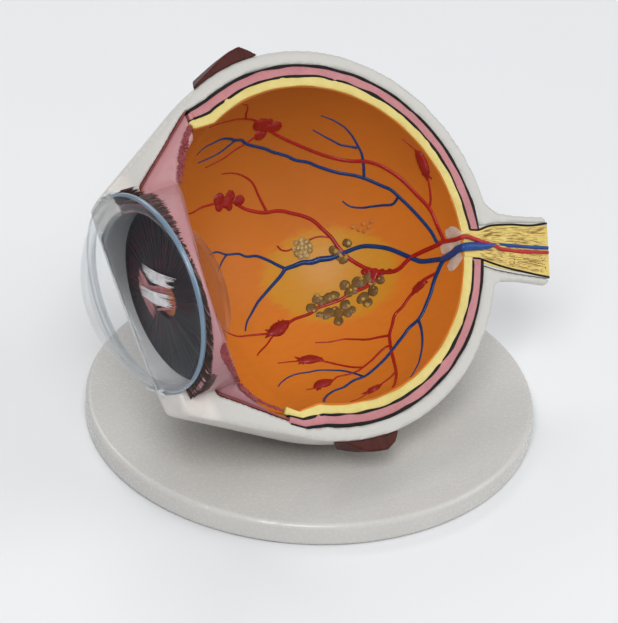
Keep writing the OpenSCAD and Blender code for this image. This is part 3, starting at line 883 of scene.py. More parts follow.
class StrokeTree:
    """A node tree that turns marked lines into raised, tapered strokes of paint."""

    def __init__(self) -> None:
        """Builds the tree once for every set of strokes."""
        self.tree = bpy.data.node_groups.new("paint_strokes", "GeometryNodeTree")
        face = self.tree.interface
        face.new_socket("Lines", in_out="INPUT", socket_type="NodeSocketGeometry")
        self.ids: dict[str, str] = {}
        for name, kind in (("Spacing", "Float"), ("Flatness", "Float"), ("Wobble", "Float"),
                           ("Wobble Scale", "Float"), ("Seed", "Float"), ("Sides", "Int"),
                           ("Material", "Material")):
            socket = face.new_socket(name, in_out="INPUT", socket_type=f"NodeSocket{kind}")
            self.ids[name] = socket.identifier
        face.new_socket("Strokes", in_out="OUTPUT", socket_type="NodeSocketGeometry")
        self.given = self._add("NodeGroupInput").outputs
        self._finish(self._shape())

    def _add(self, kind: str, feeds: dict[str | int, object] | None = None,
             **settings: object) -> bpy.types.Node:
        """Adds a node.

        Args:
            kind: The node's type.
            feeds: Sockets or values for its inputs, by name or index.
            settings: Its properties.

        Returns:
            The new node.
        """
        made = self.tree.nodes.new(kind)
        for name, value in settings.items():
            setattr(made, name, value)
        for key, value in (feeds or {}).items():
            if isinstance(value, bpy.types.NodeSocket):
                self.tree.links.new(value, made.inputs[key])
            else:
                made.inputs[key].default_value = value
        return made

    def _named(self, name: str, kind: str) -> Socket:
        """Reads an attribute of the marked lines."""
        return self._add("GeometryNodeInputNamedAttribute", {"Name": name}, data_type=kind).outputs[0]

    def _squashed(self, shape: Socket, axis: str) -> Socket:
        """Flattens a shape of radius 1.

        Args:
            shape: The shape.
            axis: The axis along which it is flattened.

        Returns:
            The flat shape.
        """
        scale = {other: 1.0 for other in "XYZ"} | {axis: self.given["Flatness"]}
        factors = self._add("ShaderNodeCombineXYZ", scale).outputs[0]
        return self._add("GeometryNodeTransform", {"Geometry": shape, "Scale": factors}).outputs[0]

    def _shape(self) -> Socket:
        """Sweeps a flattened circle along each line.

        Returns:
            The swept mesh.
        """
        line = self._add("GeometryNodeMeshToCurve", {"Mesh": self.given["Lines"]})
        even = self._add("GeometryNodeResampleCurve",
                         {"Curve": line.outputs[0], "Length": self.given["Spacing"]}, mode="LENGTH")
        facing = self._add("GeometryNodeSetCurveNormal",
                           {"Curve": even.outputs[0], "Normal": self._named("up", "FLOAT_VECTOR")},
                           mode="FREE")
        circle = self._add("GeometryNodeCurvePrimitiveCircle",
                           {"Resolution": self.given["Sides"], "Radius": 1.0}, mode="RADIUS")
        return self._add("GeometryNodeCurveToMesh",
                         {"Curve": facing.outputs[0], "Fill Caps": True,
                          "Profile Curve": self._squashed(circle.outputs["Curve"], "X"),
                          "Scale": self._named("width", "FLOAT")}).outputs[0]

    def _finish(self, shape: Socket) -> None:
        """Adds the unsteady hand, smooth shading, realised instances and the material.

        Args:
            shape: The strokes or lumps as they are before that.
        """
        wave = self._add("ShaderNodeTexNoise", {"Scale": self.given["Wobble Scale"], "W": self.given["Seed"]},
                         noise_dimensions="4D")
        centred = self._add("ShaderNodeVectorMath", {0: wave.outputs["Color"], 1: (0.5, 0.5, 0.5)},
                            operation="SUBTRACT")
        push = self._add("ShaderNodeVectorMath", {0: centred.outputs[0], "Scale": self.given["Wobble"]},
                         operation="SCALE")
        moved = self._add("GeometryNodeSetPosition", {"Geometry": shape, "Offset": push.outputs[0]})
        smooth = self._add("GeometryNodeSetShadeSmooth", {"Geometry": moved.outputs[0]})
        real = self._add("GeometryNodeRealizeInstances", {0: smooth.outputs[0]})
        paint = self._add("GeometryNodeSetMaterial",
                          {"Geometry": real.outputs[0], "Material": self.given["Material"]})
        self._add("NodeGroupOutput", {0: paint.outputs[0]})

    def paint(self, name: str, strokes: list[Stroke], material: bpy.types.Material, slot: Paint,
              *replaces: str, **look: float) -> None:
        """Turns marked lines or points into a dressed piece of raised paint.

        Args:
            name: The piece's name.
            strokes: Its lines or points.
            material: Its paint.
            slot: The record's slot.
            replaces: The CAD nodes it stands for.
            look: The tree's inputs, with underscores for spaces; lengths in millimetres.
        """
        host = host_of(name + "_host", strokes)
        modifier = host.modifiers.new("strokes", "NODES")
        modifier.node_group = self.tree
        modifier[self.ids["Material"]] = material
        for key, value in look.items():
            modifier[self.ids[key.replace("_", " ")]] = value * MM if key in ("Spacing", "Wobble") else value
        dress(baked(host, name), material, slot, *replaces)


class MoundTree(StrokeTree):
    """A node tree that sets a flattened lump of paint on each marked point."""

    def _shape(self) -> Socket:
        """Puts the lumps in place; Sides is a lump's fineness and Spacing isn't used.

        Returns:
            The lumps as one mesh.
        """
        points = self._add("GeometryNodeMeshToPoints", {"Mesh": self.given["Lines"]}, mode="VERTICES")
        ball = self._add("GeometryNodeMeshIcoSphere", {"Radius": 1.0, "Subdivisions": self.given["Sides"]})
        aim = self._add("FunctionNodeAlignRotationToVector",
                        {"Vector": self._named("up", "FLOAT_VECTOR")}, axis="Z")
        place = self._add("GeometryNodeInstanceOnPoints",
                          {"Points": points.outputs[0], "Instance": self._squashed(ball.outputs[0], "Z"),
                           "Rotation": aim.outputs[0], "Scale": self._named("width", "FLOAT")})
        return self._add("GeometryNodeRealizeInstances", {0: place.outputs[0]}).outputs[0]


def dab(point: np.ndarray, up: np.ndarray, radius: float) -> Stroke:
    """Marks one point for a lump of paint."""
    return Stroke(np.array([point], float), np.array([up], float), np.array([radius]))


def lump(lon: float, lat: float, radius: float, at_r: float) -> Stroke:
    """Marks one point of the lining for a lump of paint."""
    return dab(toward(lon, lat) * at_r, -toward(lon, lat), radius)


def host_of(name: str, strokes: list[Stroke]) -> bpy.types.Object:
    """Packs strokes into one mesh of lines with width and up attributes.

    Args:
        name: The host's name.
        strokes: The strokes, in millimetres.

    Returns:
        The host object.
    """
    points = np.vstack([s.points for s in strokes])
    ups = np.vstack([s.ups for s in strokes])
    halves = np.concatenate([s.halves for s in strokes]) * MM
    edges, start = [], 0
    for s in strokes:
        edges += [(start + i, start + i + 1) for i in range(len(s.points) - 1)]
        start += len(s.points)
    data = bpy.data.meshes.new(name)
    data.from_pydata([tuple(p) for p in EYE.rows(points)], edges, [])
    width = data.attributes.new("width", "FLOAT", "POINT")
    width.data.foreach_set("value", halves.astype(np.float32))
    up = data.attributes.new("up", "FLOAT_VECTOR", "POINT")
    up.data.foreach_set("vector", EYE.turn(ups).astype(np.float32).ravel())
    return placed(name, data)


STROKES = StrokeTree()
MOUNDS = MoundTree()
OUT_OF_CUT = np.array([0.0, -1.0, 0.0])
AHEAD = np.array([-1.0, 0.0, 0.0])


# ---------- the foot ----------


@dataclass
class Foot:
    """The round foot with its bare film and screw."""

    film_alpha: float = 0.06
    film_edge: float = 0.2

    def build(self) -> None:
        """Dresses the CAD nodes of the foot."""
        film = ClearCast("clear_film", (0.9, 0.9, 0.9), self.film_alpha, self.film_edge)
        steel = BrushedPaint("satin_steel", (0.55, 0.56, 0.58), (0.42, 0.43, 0.45), roughness=0.3, metal=1.0)
        for node, finish in (("foot_disc", FootResin()), ("label_film", film), ("mounting_screw", steel)):
            repaint(node, finish.build())


# ---------- the bowl ----------


@dataclass
class CoatBand:
    """One painted coat as it shows on the cut face, with an unsteady edge."""

    name: str
    inner_r: float
    outer_r: float
    lift: float
    wobble: float
    seed: float
    front_top: float
    front_low: float
    nerve_top: float = -11.7
    nerve_low: float = -21.8
    depth: float = 1.2
    step_deg: float = 0.5

    def band(self, start: float, end: float) -> np.ndarray:
        """Gives the rings of one stretch of the coat.

        Args:
            start: Its first angle from the eye's back, in degrees.
            end: Its last angle.

        Returns:
            Rings of points in the eye's frame.
        """
        rings = []
        for angle in np.arange(start, end + self.step_deg / 2, self.step_deg):
            a = math.radians(angle)
            low = MOUTH.reach(self.inner_r, angle) + self.wobble * wander(angle, self.seed, 0.14)
            high = MOUTH.reach(self.outer_r, angle) + self.wobble * wander(angle, self.seed + 9, 0.14)
            crown = self.lift * (1 + 0.5 * wander(angle, self.seed + 3, 0.3))
            wide = high - low
            shape = [(low, self.depth), (low, 0.02), (low + 0.12 * wide, -crown * 0.75),
                     (low + 0.35 * wide, -crown), (low + 0.65 * wide, -crown),
                     (low + 0.88 * wide, -crown * 0.75), (high, 0.02), (high, self.depth)]
            rings.append([(r * math.cos(a), y, r * math.sin(a)) for r, y in shape])
        return np.array(rings)

    def build(self, material: bpy.types.Material, slot: Paint) -> None:
        """Makes the upper and lower stretches.

        Args:
            material: The coat's paint.
            slot: The record's slot.
        """
        for part, start, end in (("upper", self.nerve_top, self.front_top),
                                 ("lower", self.front_low, self.nerve_low)):
            dress(loft(f"{self.name}_{part}", self.band(start, end)), material, slot)


@dataclass
class Bowl:
    """The half bowl: white coat, painted coats on the cut, lining and pale disc."""

    lining_r: float = 38.8
    lining_out: float = 39.28
    petal_r: float = 38.72
    petals: tuple[tuple[float, Route], ...] = (
        (1.9, [(81, -10.6), (84, -11.2), (87, -12.6), (90, -14)]),
        (2.3, [(77, -15.6), (80, -15.4), (84, -15.6), (89, -16)]),
        (1.7, [(79.6, -23.2), (82, -22.6), (85, -21.6), (89, -20.2)]),
    )

    def build(self) -> None:
        """Builds and dresses the bowl."""
        dress(softened("sclera_shell", "white_coat", 0.6, 5), WhitePaint().build(), Paint.WHITE)
        self.build_coats()
        self.build_lining()
        self.build_disc()

    def build_coats(self) -> None:
        """Paints the coats and the black lines on the cut face."""
        black = BrushedPaint("black_line", (0.008, 0.007, 0.007), (0.014, 0.012, 0.012), 0.9,
                             roughness=0.42, shine=0.12).build()
        pink = BrushedPaint("pink_coat", (0.50, 0.20, 0.21), (0.42, 0.155, 0.165), 0.5, roughness=0.36,
                            coat=0.1).build()
        yellow = BrushedPaint("yellow_coat", (0.70, 0.585, 0.20), (0.60, 0.47, 0.14), 0.5,
                              roughness=0.34, coat=0.15).build()
        for node, material in (("suprachoroid_line", black), ("choroid_layer", pink),
                               ("pigment_line", black), ("retina_layer", yellow)):
            repaint(node, material)
        CoatBand("pink_coat", 41.2, 44.0, 0.10, 0.12, 1.0, 118.2, -124.4, -11.9,
                 -21.6).build(pink, Paint.PINK)
        CoatBand("yellow_coat", 39.1, 41.6, 0.14, 0.10, 2.0, 121.0, -126.4, -13.2,
                 -21.0).build(yellow, Paint.YELLOW)
        CoatBand("outer_line", 43.75, 44.5, 0.22, 0.2, 3.0, 118.2, -123.8).build(black, Paint.BLACK)
        CoatBand("inner_line", 41.2, 41.9, 0.22, 0.2, 4.0, 118.8, -125.2).build(black, Paint.BLACK)

    def build_lining(self) -> None:
        """Builds the concave lining with its wider mouth."""
        rings = []
        for turn in np.linspace(0, 180, 181):
            t = math.radians(turn)
            loop = []
            for coat_r, steps, way in ((self.lining_r, 110, 1), (self.lining_out, 60, -1)):
                for angle in np.linspace(0, MOUTH.end_deg(coat_r), steps)[::way]:
                    a, radius = math.radians(angle), MOUTH.reach(coat_r, angle)
                    loop.append((radius * math.cos(a), radius * math.sin(a) * math.sin(t),
                                 radius * math.sin(a) * math.cos(t)))
            rings.append(loop)
        dress(loft("bowl_lining", np.array(rings)), BowlPaint().build(), Paint.ORANGE, "retina_lining",
              "macula_patch")

    def build_disc(self) -> None:
        """Builds the thin pale petals where the nerve enters the bowl."""
        cream = BrushedPaint("pale_disc", (0.66, 0.58, 0.50), (0.52, 0.42, 0.34), 1.2, coat=0.3,
                             roughness=0.3)
        strokes = []
        for half, route in self.petals:
            ways = ways_of(route)
            t = np.linspace(0, 1, len(ways))
            strokes.append(Stroke(ways * self.petal_r, -ways, half * np.sin(np.pi * (0.14 + 0.66 * t))))
        STROKES.paint("pale_disc", strokes, cream.build(), Paint.DISC, "optic_disc", Spacing=0.3,
                      Flatness=0.16, Wobble=0.7, Wobble_Scale=380.0, Seed=5.0, Sides=20)


# ---------- vessels and marks in the bowl ----------


@dataclass
class Vessels:
    """One colour of raised vessels, drawn through places in the bowl."""

    name: str
    node: str
    slot: Paint
    paint: BrushedPaint
    routes: list[tuple[float, float, Route]]
    at_r: float = 38.75
    width_share: float = 0.8

    def build(self) -> None:
        """Draws every route as a tapered stroke."""
        strokes = []
        for root, tip, route in self.routes:
            ways = ways_of(route)
            halves = np.linspace(root / 2, tip / 2, len(ways)) * self.width_share
            strokes.append(Stroke(ways * self.at_r, -ways, halves))
        STROKES.paint(self.name, strokes, self.paint.build(), self.slot, self.node, Spacing=0.35,
                      Flatness=0.7, Wobble=0.1, Wobble_Scale=420.0, Seed=3.0, Sides=12)


ARTERY_ROUTES: list[tuple[float, float, Route]] = [
    (1.4, 1.0, [(79.3, -12.6), (78.4, -9.5), (77.6, -6), (76.8, 0), (73, 8), (70, 15), (66, 21), (63, 24),
        (60, 26), (55, 28), (50, 31), (44, 36), (40, 40), (36, 44), (30, 50), (26, 54), (22, 57)]),
    (0.9, 0.4, [(22, 57), (15, 64), (5, 67), (-10, 69), (-35, 69), (-60, 67)]),
    (0.7, 0.4, [(6, 67), (3, 71), (0, 75), (-12, 79), (-40, 81)]),
    (0.8, 0.4, [(22, 57), (15, 54), (7, 52), (2, 51), (-4, 49), (-10, 48), (-18, 47)]),
    (0.9, 0.5, [(76, 0), (79, 3), (82, 9), (84, 13), (86, 18), (86, 22), (84, 28)]),
    (1.5, 1.0, [(80, -12.9), (76, -13.1), (72, -13.3), (66, -13.4), (61, -14), (56, -16), (52, -16),
        (47, -14), (44, -12), (41, -9), (38, -5), (36, 0), (35, 4), (33, 8), (31, 12), (28, 15), (25, 17),
        (20, 20), (15, 21), (12, 22), (8, 24), (5, 26), (0, 30), (-6, 31)]),
    (0.9, 0.4, [(-6, 31), (-11, 31), (-16, 31), (-22, 30), (-26, 30)]),
    (0.9, 0.4, [(15, 21), (14, 25), (13, 29), (12, 33), (10, 36), (6, 39), (1, 41), (-5, 42)]),
    (1.2, 0.9, [(47, -14), (44, -17), (40, -18), (35, -18), (30, -19), (25, -19), (20, -19), (17, -20),
        (13, -20), (10, -20), (6, -21), (2, -22), (-3, -22)]),
    (0.8, 0.4, [(-3, -22), (-7, -21), (-12, -20), (-17, -19), (-20, -17), (-22, -15)]),
    (0.7, 0.4, [(1, -22), (-3, -24), (-7, -26), (-13, -28), (-15, -29)]),
    (0.6, 0.5, [(27, 6), (30, 6), (33, 5), (36, 3)]),
    (0.6, 0.5, [(15, 8), (16, 6), (18, 5), (20, 5), (22, 4)]),
    (1.1, 1.0, [(76, -20), (74.6, -21.6), (73, -23), (69, -23.4), (65, -24), (62, -26), (58, -28),
        (54, -31), (50, -33), (48, -37), (46, -41), (46, -47), (47, -53), (49, -59), (52, -66), (55, -72),
        (60, -78)]),
    (0.9, 0.4, [(46, -41), (41, -40), (35, -39), (30, -37), (25, -35), (19, -34), (13, -32)]),
    (0.9, 0.5, [(46, -46), (43, -46), (38, -48), (34, -50), (28, -52), (24, -53), (18, -53), (12, -52),
        (8, -53), (2, -53), (-5, -54), (-12, -53)]),
    (0.8, 0.4, [(28, -52), (23, -50), (17, -46), (12, -42), (8, -40), (4, -38), (0, -37), (-4, -36),
        (-9, -35)]),
    (0.8, 0.4, [(50, -63), (46, -66), (40, -68), (34, -70), (26, -72), (14, -74), (0, -76), (-16, -76)]),
]
VEIN_ROUTES: list[tuple[float, float, Route]] = [
    (2.1, 1.9, [(84, -18.4), (80, -18.8), (77, -19.1)]),
    (1.2, 1.0, [(76, -13.4), (75, -11), (73.8, -7.5), (72, -4), (70, 0), (68, 4), (66, 8), (64, 12),
        (61, 15), (56, 20), (52, 23), (47, 26), (41, 31), (38, 34), (33, 37), (30, 40), (24, 44), (20, 47),
        (10, 52), (6, 55), (1, 56)]),
    (1.0, 0.4, [(1, 56), (-5, 58), (-13, 59), (-21, 58), (-28, 57), (-34, 54)]),
    (0.8, 0.4, [(1, 56), (-4, 54), (-10, 52), (-17, 51), (-27, 50)]),
    (1.0, 0.4, [(56, 20), (59, 25), (61, 29), (62, 33), (63, 38), (63, 43), (61, 48), (58, 52)]),
    (0.9, 0.4, [(61, 32), (58, 34), (55, 36), (53, 39), (51, 42), (48, 47)]),
    (0.9, 0.5, [(66, 9), (62, 7), (58, 8), (54, 9), (50, 10), (46, 12), (44, 15)]),
    (1.6, 1.3, [(78, -19.1), (72, -18), (66, -16.6), (62, -14), (57, -10), (53, -7), (47, -4), (43, -3),
        (38, -3)]),
    (1.5, 1.9, [(38, -3), (35, -3), (32, -3), (28, -2)]),
    (1.9, 1.3, [(28, -2), (25, -2), (22, -1), (19, -1), (15, -1)]),
    (1.1, 0.5, [(15, -1), (13, 1), (10, 4), (6, 7), (2, 8), (-1, 10), (-6, 11), (-10, 13), (-14, 13)]),
    (0.7, 0.4, [(-6, 11), (-9, 9), (-12, 6)]),
    (1.2, 0.5, [(15, -1), (12, -3), (8, -5), (4, -7), (0, -9), (-3, -11), (-6, -13), (-9, -15),
        (-12, -18)]),
    (1.6, 0.8, [(78, -19.2), (76, -20.4), (73.6, -22.8), (71, -26), (69, -30), (67, -33), (65, -36),
        (62, -39), (57, -41), (53, -44), (49, -47), (45, -50), (40, -53), (33, -56), (26, -58), (18, -58),
        (9, -60), (1, -60), (-6, -61), (-14, -63), (-24, -66)]),
    (0.8, 0.4, [(26, -58), (22, -54), (17, -50), (11, -47), (6, -45), (0, -44), (-5, -43), (-11, -43),
        (-17, -44), (-21, -45), (-24, -46)]),
    (1.0, 0.5, [(62, -39), (64, -43), (66, -48), (68, -53), (70, -58), (73, -63), (76, -68), (82, -73)]),
]

@dataclass
class Bleeds:
    """Raised round and flame-shaped bleeds."""

    at_r: float = 38.7
    flames: tuple[tuple[float, Route], ...] = (
        (3.4, [(82, 10), (84, 14), (86, 19), (86, 22)]),
        (3.6, [(8, -20), (4, -21), (0, -22), (-3, -22)]),
        (2.2, [(67, -24), (65, -25), (62, -26), (59, -28)]),
        (3.0, [(12, -41), (8, -39), (4, -38), (0, -37)]),
        (3.4, [(8, -53), (3, -53), (-2, -53), (-7, -54)]),
        (3.0, [(38, -69), (30, -71), (25, -72), (20, -73)]),
    )
    lobes: tuple[tuple[float, float, float], ...] = (
        (20, 60, 2.1), (29, 56, 1.9), (19, 54, 1.6), (24, 57, 1.7), (26, 60, 1.3),
        (-6, 32, 1.7), (0, 32, 1.5), (4, 29, 1.5), (-6, 29, 1.2), (-1, 28, 1.0), (-2, 30, 1.6),
        (42, -12.4, 0.8), (43.7, -12.6, 1.0), (46, -13.9, 1.0), (48.8, -14.7, 0.9), (51.7, -15.4, 0.6),
        (43, -14.4, 0.8), (44.8, -14.8, 1.1), (47.4, -16, 0.8),
    )
    spray: int = 16

    def build(self) -> None:
        """Builds both kinds of bleed."""
        red = BrushedPaint("blood_red", (0.24, 0.010, 0.009), (0.33, 0.018, 0.014), 1.3, coat=0.15,
                           roughness=0.34, shine=0.25).build()
        rng = random.Random(11)
        MOUNDS.paint("round_bleeds", [lump(lon, lat, r, self.at_r) for lon, lat, r in self.lobes], red,
                     Paint.RED, "round_bleeds", Flatness=0.3, Wobble=0.9, Wobble_Scale=420.0, Seed=2.0,
                     Sides=4)
        strokes = []
        for width, route in self.flames:
            ways = ways_of(route, 6)
            t = np.linspace(0, 1, len(ways))
            strokes.append(Stroke(ways * self.at_r, -ways, width / 2 * (0.15 + 0.85 * np.sin(np.pi * t))))
            strokes += self.feathers(ways, width, rng)
        STROKES.paint("flame_bleeds", strokes, red, Paint.RED, "flame_bleeds", Spacing=0.3, Flatness=0.5,
                      Wobble=0.5, Wobble_Scale=600.0, Seed=4.0, Sides=12)

    def feathers(self, ways: np.ndarray, width: float, rng: random.Random) -> list[Stroke]:
        """Gives the short side strokes that make a flame ragged.

        Args:
            ways: The flame's directions.
            width: Its width.
            rng: The source of chance.

        Returns:
            The strokes.
        """
        out = []
        for _ in range(self.spray):
            i = rng.randrange(3, len(ways) - 3)
            along = ways[i + 2] - ways[i - 2]
            along /= np.linalg.norm(along)
            side = np.cross(along, ways[i]) * rng.choice((-1, 1))
            start = ways[i] * self.at_r
            reach = along * rng.uniform(-1.6, 2.4) + side * width * rng.uniform(0.2, 0.5)
            pts = np.array([start, start + reach * 0.5, start + reach])
            pts = pts / np.linalg.norm(pts, axis=1)[:, None] * self.at_r
            out.append(Stroke(pts, -pts / self.at_r, np.array([0.45, 0.36, 0.18])))
        return out


@dataclass
class PatchMarks:
    """Dabs of ochre, rosette and pale spots on and near the yellow patch."""

    at_r: float = 38.72
    sunk: float = 0.1
    bead_r: float = 1.3
    bit_share: float = 0.75
    beads: Route = (
        (21.7, -15.8), (23.1, -17.2), (26.3, -16.7), (28.4, -16.6), (33.6, -14.4), (36.2, -16.6),
        (38.6, -15.1), (39.5, -16.4), (41.1, -15.5), (43.0, -15.4), (44.0, -16.6), (36.4, -17.6),
        (33.8, -17.8), (47.1, -17.4), (43.2, -20.3), (18.4, -18.3), (20.3, -21.9), (22.2, -23.0),
        (24.1, -22.2), (26.5, -22.3), (27.1, -23.9), (30.9, -21.7), (30.9, -25.1), (32.6, -24.5),
        (26.1, -27.0), (37.3, -21.7), (38.9, -21.4), (39.7, -23.8), (33.9, -0.6), (35.1, -2.5),
        (35.5, -3.7), (36.3, -5.4), (39.6, -0.2))
    rosette: tuple[float, float] = (23.5, 3.9)
    rings: tuple[tuple[int, float, float], ...] = ((1, 0.0, 0.7), (5, 1.5, 0.62), (9, 3.0, 0.7))
    spots: Route = ((45.4, 3.0), (47.6, 4.2), (49.4, 2.7), (51.1, 4.0), (47.2, 1.8), (43.8, 4.6))
    spot_r: float = 0.5

    def build(self) -> None:
        """Builds the sets of marks."""
        ochre = BrushedPaint("bead_ochre", (0.20, 0.115, 0.028), (0.12, 0.068, 0.018), 1.6, coat=0.08,
                             roughness=0.42)
        lemon = BrushedPaint("bead_lemon", (0.50, 0.36, 0.07), (0.34, 0.22, 0.05), 1.6, coat=0.15,
                             roughness=0.36)
        gold = BrushedPaint("rosette_gold", (0.60, 0.47, 0.20), (0.24, 0.15, 0.05), 2.6, coat=0.4,
                            roughness=0.24)
        faint = BrushedPaint("pale_spots", (0.50, 0.20, 0.05), (0.42, 0.14, 0.03), 1.5, coat=0.2)
        rng = random.Random(5)
        marks, bits, petals = [], [], []
        for lon, lat in self.beads:
            marks.append(lump(lon, lat, self.bead_r * rng.uniform(0.75, 1.12), self.at_r))
            if rng.random() < self.bit_share:
                bits.append(lump(lon + rng.uniform(-1.3, 1.3), lat + rng.uniform(-1.2, 1.2),
                                 self.bead_r * rng.uniform(0.3, 0.5), self.at_r - self.sunk))
        for count, spread, size in self.rings:
            for i in range(count):
                a = 2 * math.pi * (i + rng.uniform(-0.2, 0.2)) / count
                petals.append(lump(self.rosette[0] + spread * math.cos(a),
                                   self.rosette[1] + spread * math.sin(a), size, self.at_r - self.sunk))
        spots = [lump(lon, lat, self.spot_r, self.at_r) for lon, lat in self.spots]
        for name, lumps, finish, slot, flatness in (
                ("exudate_beads", marks, ochre, Paint.OCHRE, 0.22),
                ("exudate_bits", bits, lemon, Paint.GOLD, 0.6),
                ("vessel_tuft", petals, gold, Paint.GOLD, 0.55),
                ("cotton_wool_spots", spots, faint, Paint.GOLD, 0.3)):
            nodes = [name] if name in frame["nodes"] else []
            MOUNDS.paint(name + "_paint", lumps, finish.build(), slot, *nodes, Flatness=flatness,
                         Wobble=1.0, Wobble_Scale=620.0, Seed=6.0, Sides=3)


# ---------- optic nerve ----------


@dataclass
class Nerve:
    """The cut face of the optic nerve: fibres, black lines and the two central vessels."""

    root_deg: float = 17.0
    fall_deg: float = 21.0
    root_r: float = 44.4
    edge_r: float = 38.6
    line_half: float = 0.28
    end: float = 18.5
    outline: tuple[Route, ...] = (
        ((-3.1, 3.65), (-2.0, 3.8), (-0.5, 3.96), (1.7, 4.8), (3.8, 5.4), (8.6, 5.95), (13.9, 6.1),
         (18.7, 6.9)),
        ((-2.7, -3.4), (-1.0, -3.5), (0.4, -3.8), (4.4, -4.65), (8.4, -5.35), (11.2, -5.7),
         (14.4, -6.15), (18.7, -6.6)))
    artery: Route = ((-5.1, 1.75), (-3.6, 1.7), (-2.4, 1.4), (-0.1, 0.9), (2.1, 0.55), (3.7, 0),
                     (5.3, -0.5), (7.6, -0.7), (10.3, -0.75), (14.5, -0.6), (18.7, -0.4))
    artery_inside: Route = ((77.5, -13.0), (80, -13.2), (84, -13.8), (87.2, -14.2))
    vein: Route = ((-5.1, -0.9), (-3.9, -0.7), (-2.5, -0.5), (-1.0, -0.35), (0.4, -0.2), (2.4, 0.1),
                   (4.0, 0.5))
    vein_inside: Route = ((77, -19.1), (80, -19.1), (84, -18.7), (87.2, -18.0))
    vein_halves: tuple[float, ...] = (0.7, 0.85, 0.95, 1.0, 1.0, 1.05, 1.1, 1.1, 1.05, 0.9, 0.65, 0.25)
    vein_far: Route = ((5.0, 0.75), (7.0, 0.6), (10.3, 0.55), (14.5, 0.6), (18.7, 0.75))
    fibres: int = 520
    dots: int = 70

    def point(self, along: float, off: float, lift: float) -> tuple[float, float, float]:
        """Gives a point of the nerve's cut face.

        Args:
            along: Millimetres from the bowl's root.
            off: Millimetres above the nerve's axis.
            lift: Millimetres proud of the cut.

        Returns:
            The point in the eye's frame.
        """
        a, b = math.radians(self.root_deg), math.radians(self.fall_deg)
        x = self.root_r * math.cos(a) + along * math.cos(b) + off * math.sin(b)
        z = -self.root_r * math.sin(a) - along * math.sin(b) + off * math.cos(b)
        return (x, -lift, z)

    def stroke(self, route: Route, halves: list[float], lift: float = 0.0) -> Stroke:
        """Makes a stroke on the cut face.

        Args:
            route: Points of (along, off).
            halves: The half width at each point.
            lift: How far the stroke's middle stands proud.

        Returns:
            The stroke.
        """
        dense = eased(np.column_stack([np.array(route, float), halves]), 5)
        points = np.array([self.point(s, r, lift) for s, r, _ in dense])
        return Stroke(points, np.tile(OUT_OF_CUT, (len(points), 1)), dense[:, 2])

    def build(self) -> None:
        """Builds and dresses the nerve."""
        core = BrushedPaint("nerve_core", (0.74, 0.58, 0.17), (0.60, 0.43, 0.115), 0.7, (0.3, 1, 1),
                            0.5, 0.1, 0.1)
        repaint("nerve_core", core.build())
        repaint("nerve_line", WhitePaint("nerve_edge", warm=(0.015, 0.013, 0.013),
                                         shade=(0.02, 0.018, 0.018)).build())
        black = BrushedPaint("nerve_black", (0.008, 0.007, 0.007), (0.014, 0.012, 0.012), 0.9, shine=0.12)
        lines = []
        for side, route in enumerate(self.outline):
            steady = [(s, r + 0.10 * wander(s, side + 4.0, 0.5)) for s, r in route]
            lines.append(self.stroke(steady, [self.line_half] * len(steady)))
        self.lay("nerve_outline", lines, black, Paint.BLACK, 0.6)
        self.build_fibres()
        self.build_vessels()

    def build_vessels(self) -> None:
        """Lays the red and blue vessels from the bowl over its edge and along the nerve."""
        red = BrushedPaint("nerve_red", (0.46, 0.018, 0.016), (0.36, 0.014, 0.012), 1.2, coat=0.15)
        blue = BrushedPaint("nerve_blue", (0.005, 0.040, 0.20), (0.008, 0.06, 0.25), 1.2, coat=0.15)
        artery = self.bridged(self.artery_inside, self.artery, [0.55] * 9 + [0.45] * 7)
        vein = self.bridged(self.vein_inside, self.vein, self.vein_halves)
        far = self.stroke(self.vein_far, [0.2, 0.42, 0.45, 0.45, 0.45], 0.05)
        self.lay("nerve_artery", [artery], red, Paint.RED, 0.75, "central_artery")
        self.lay("nerve_vein", [vein, far], blue, Paint.BLUE, 0.75, "central_vein")

    def bridged(self, inside: Route, along: Route, halves: list[float]) -> Stroke:
        """Joins a stroke in the bowl to one on the cut face.

        Args:
            inside: Places in the bowl, ending at its edge.
            along: Points of (along, off) on the nerve.
            halves: The half width at every point, with one more for the bowl's edge.

        Returns:
            The stroke.
        """
        ways = [toward(*place) for place in inside]
        edge = toward(90.0, inside[-1][1])
        points = [way * (self.edge_r - 0.2) for way in ways] + [edge * self.edge_r + OUT_OF_CUT * 0.3]
        points += [np.array(self.point(s, r, 0.12 + 0.4 * min(1.0, max(0.0, -s / 4)))) for s, r in along]
        ups = [-way for way in ways] + [(OUT_OF_CUT - edge) / math.sqrt(2)] + [OUT_OF_CUT] * len(along)
        dense = eased(np.column_stack([np.array(points), np.array(ups), halves]), 5)
        ups = dense[:, 3:6] / np.linalg.norm(dense[:, 3:6], axis=1)[:, None]
        return Stroke(dense[:, :3], ups, dense[:, 6])

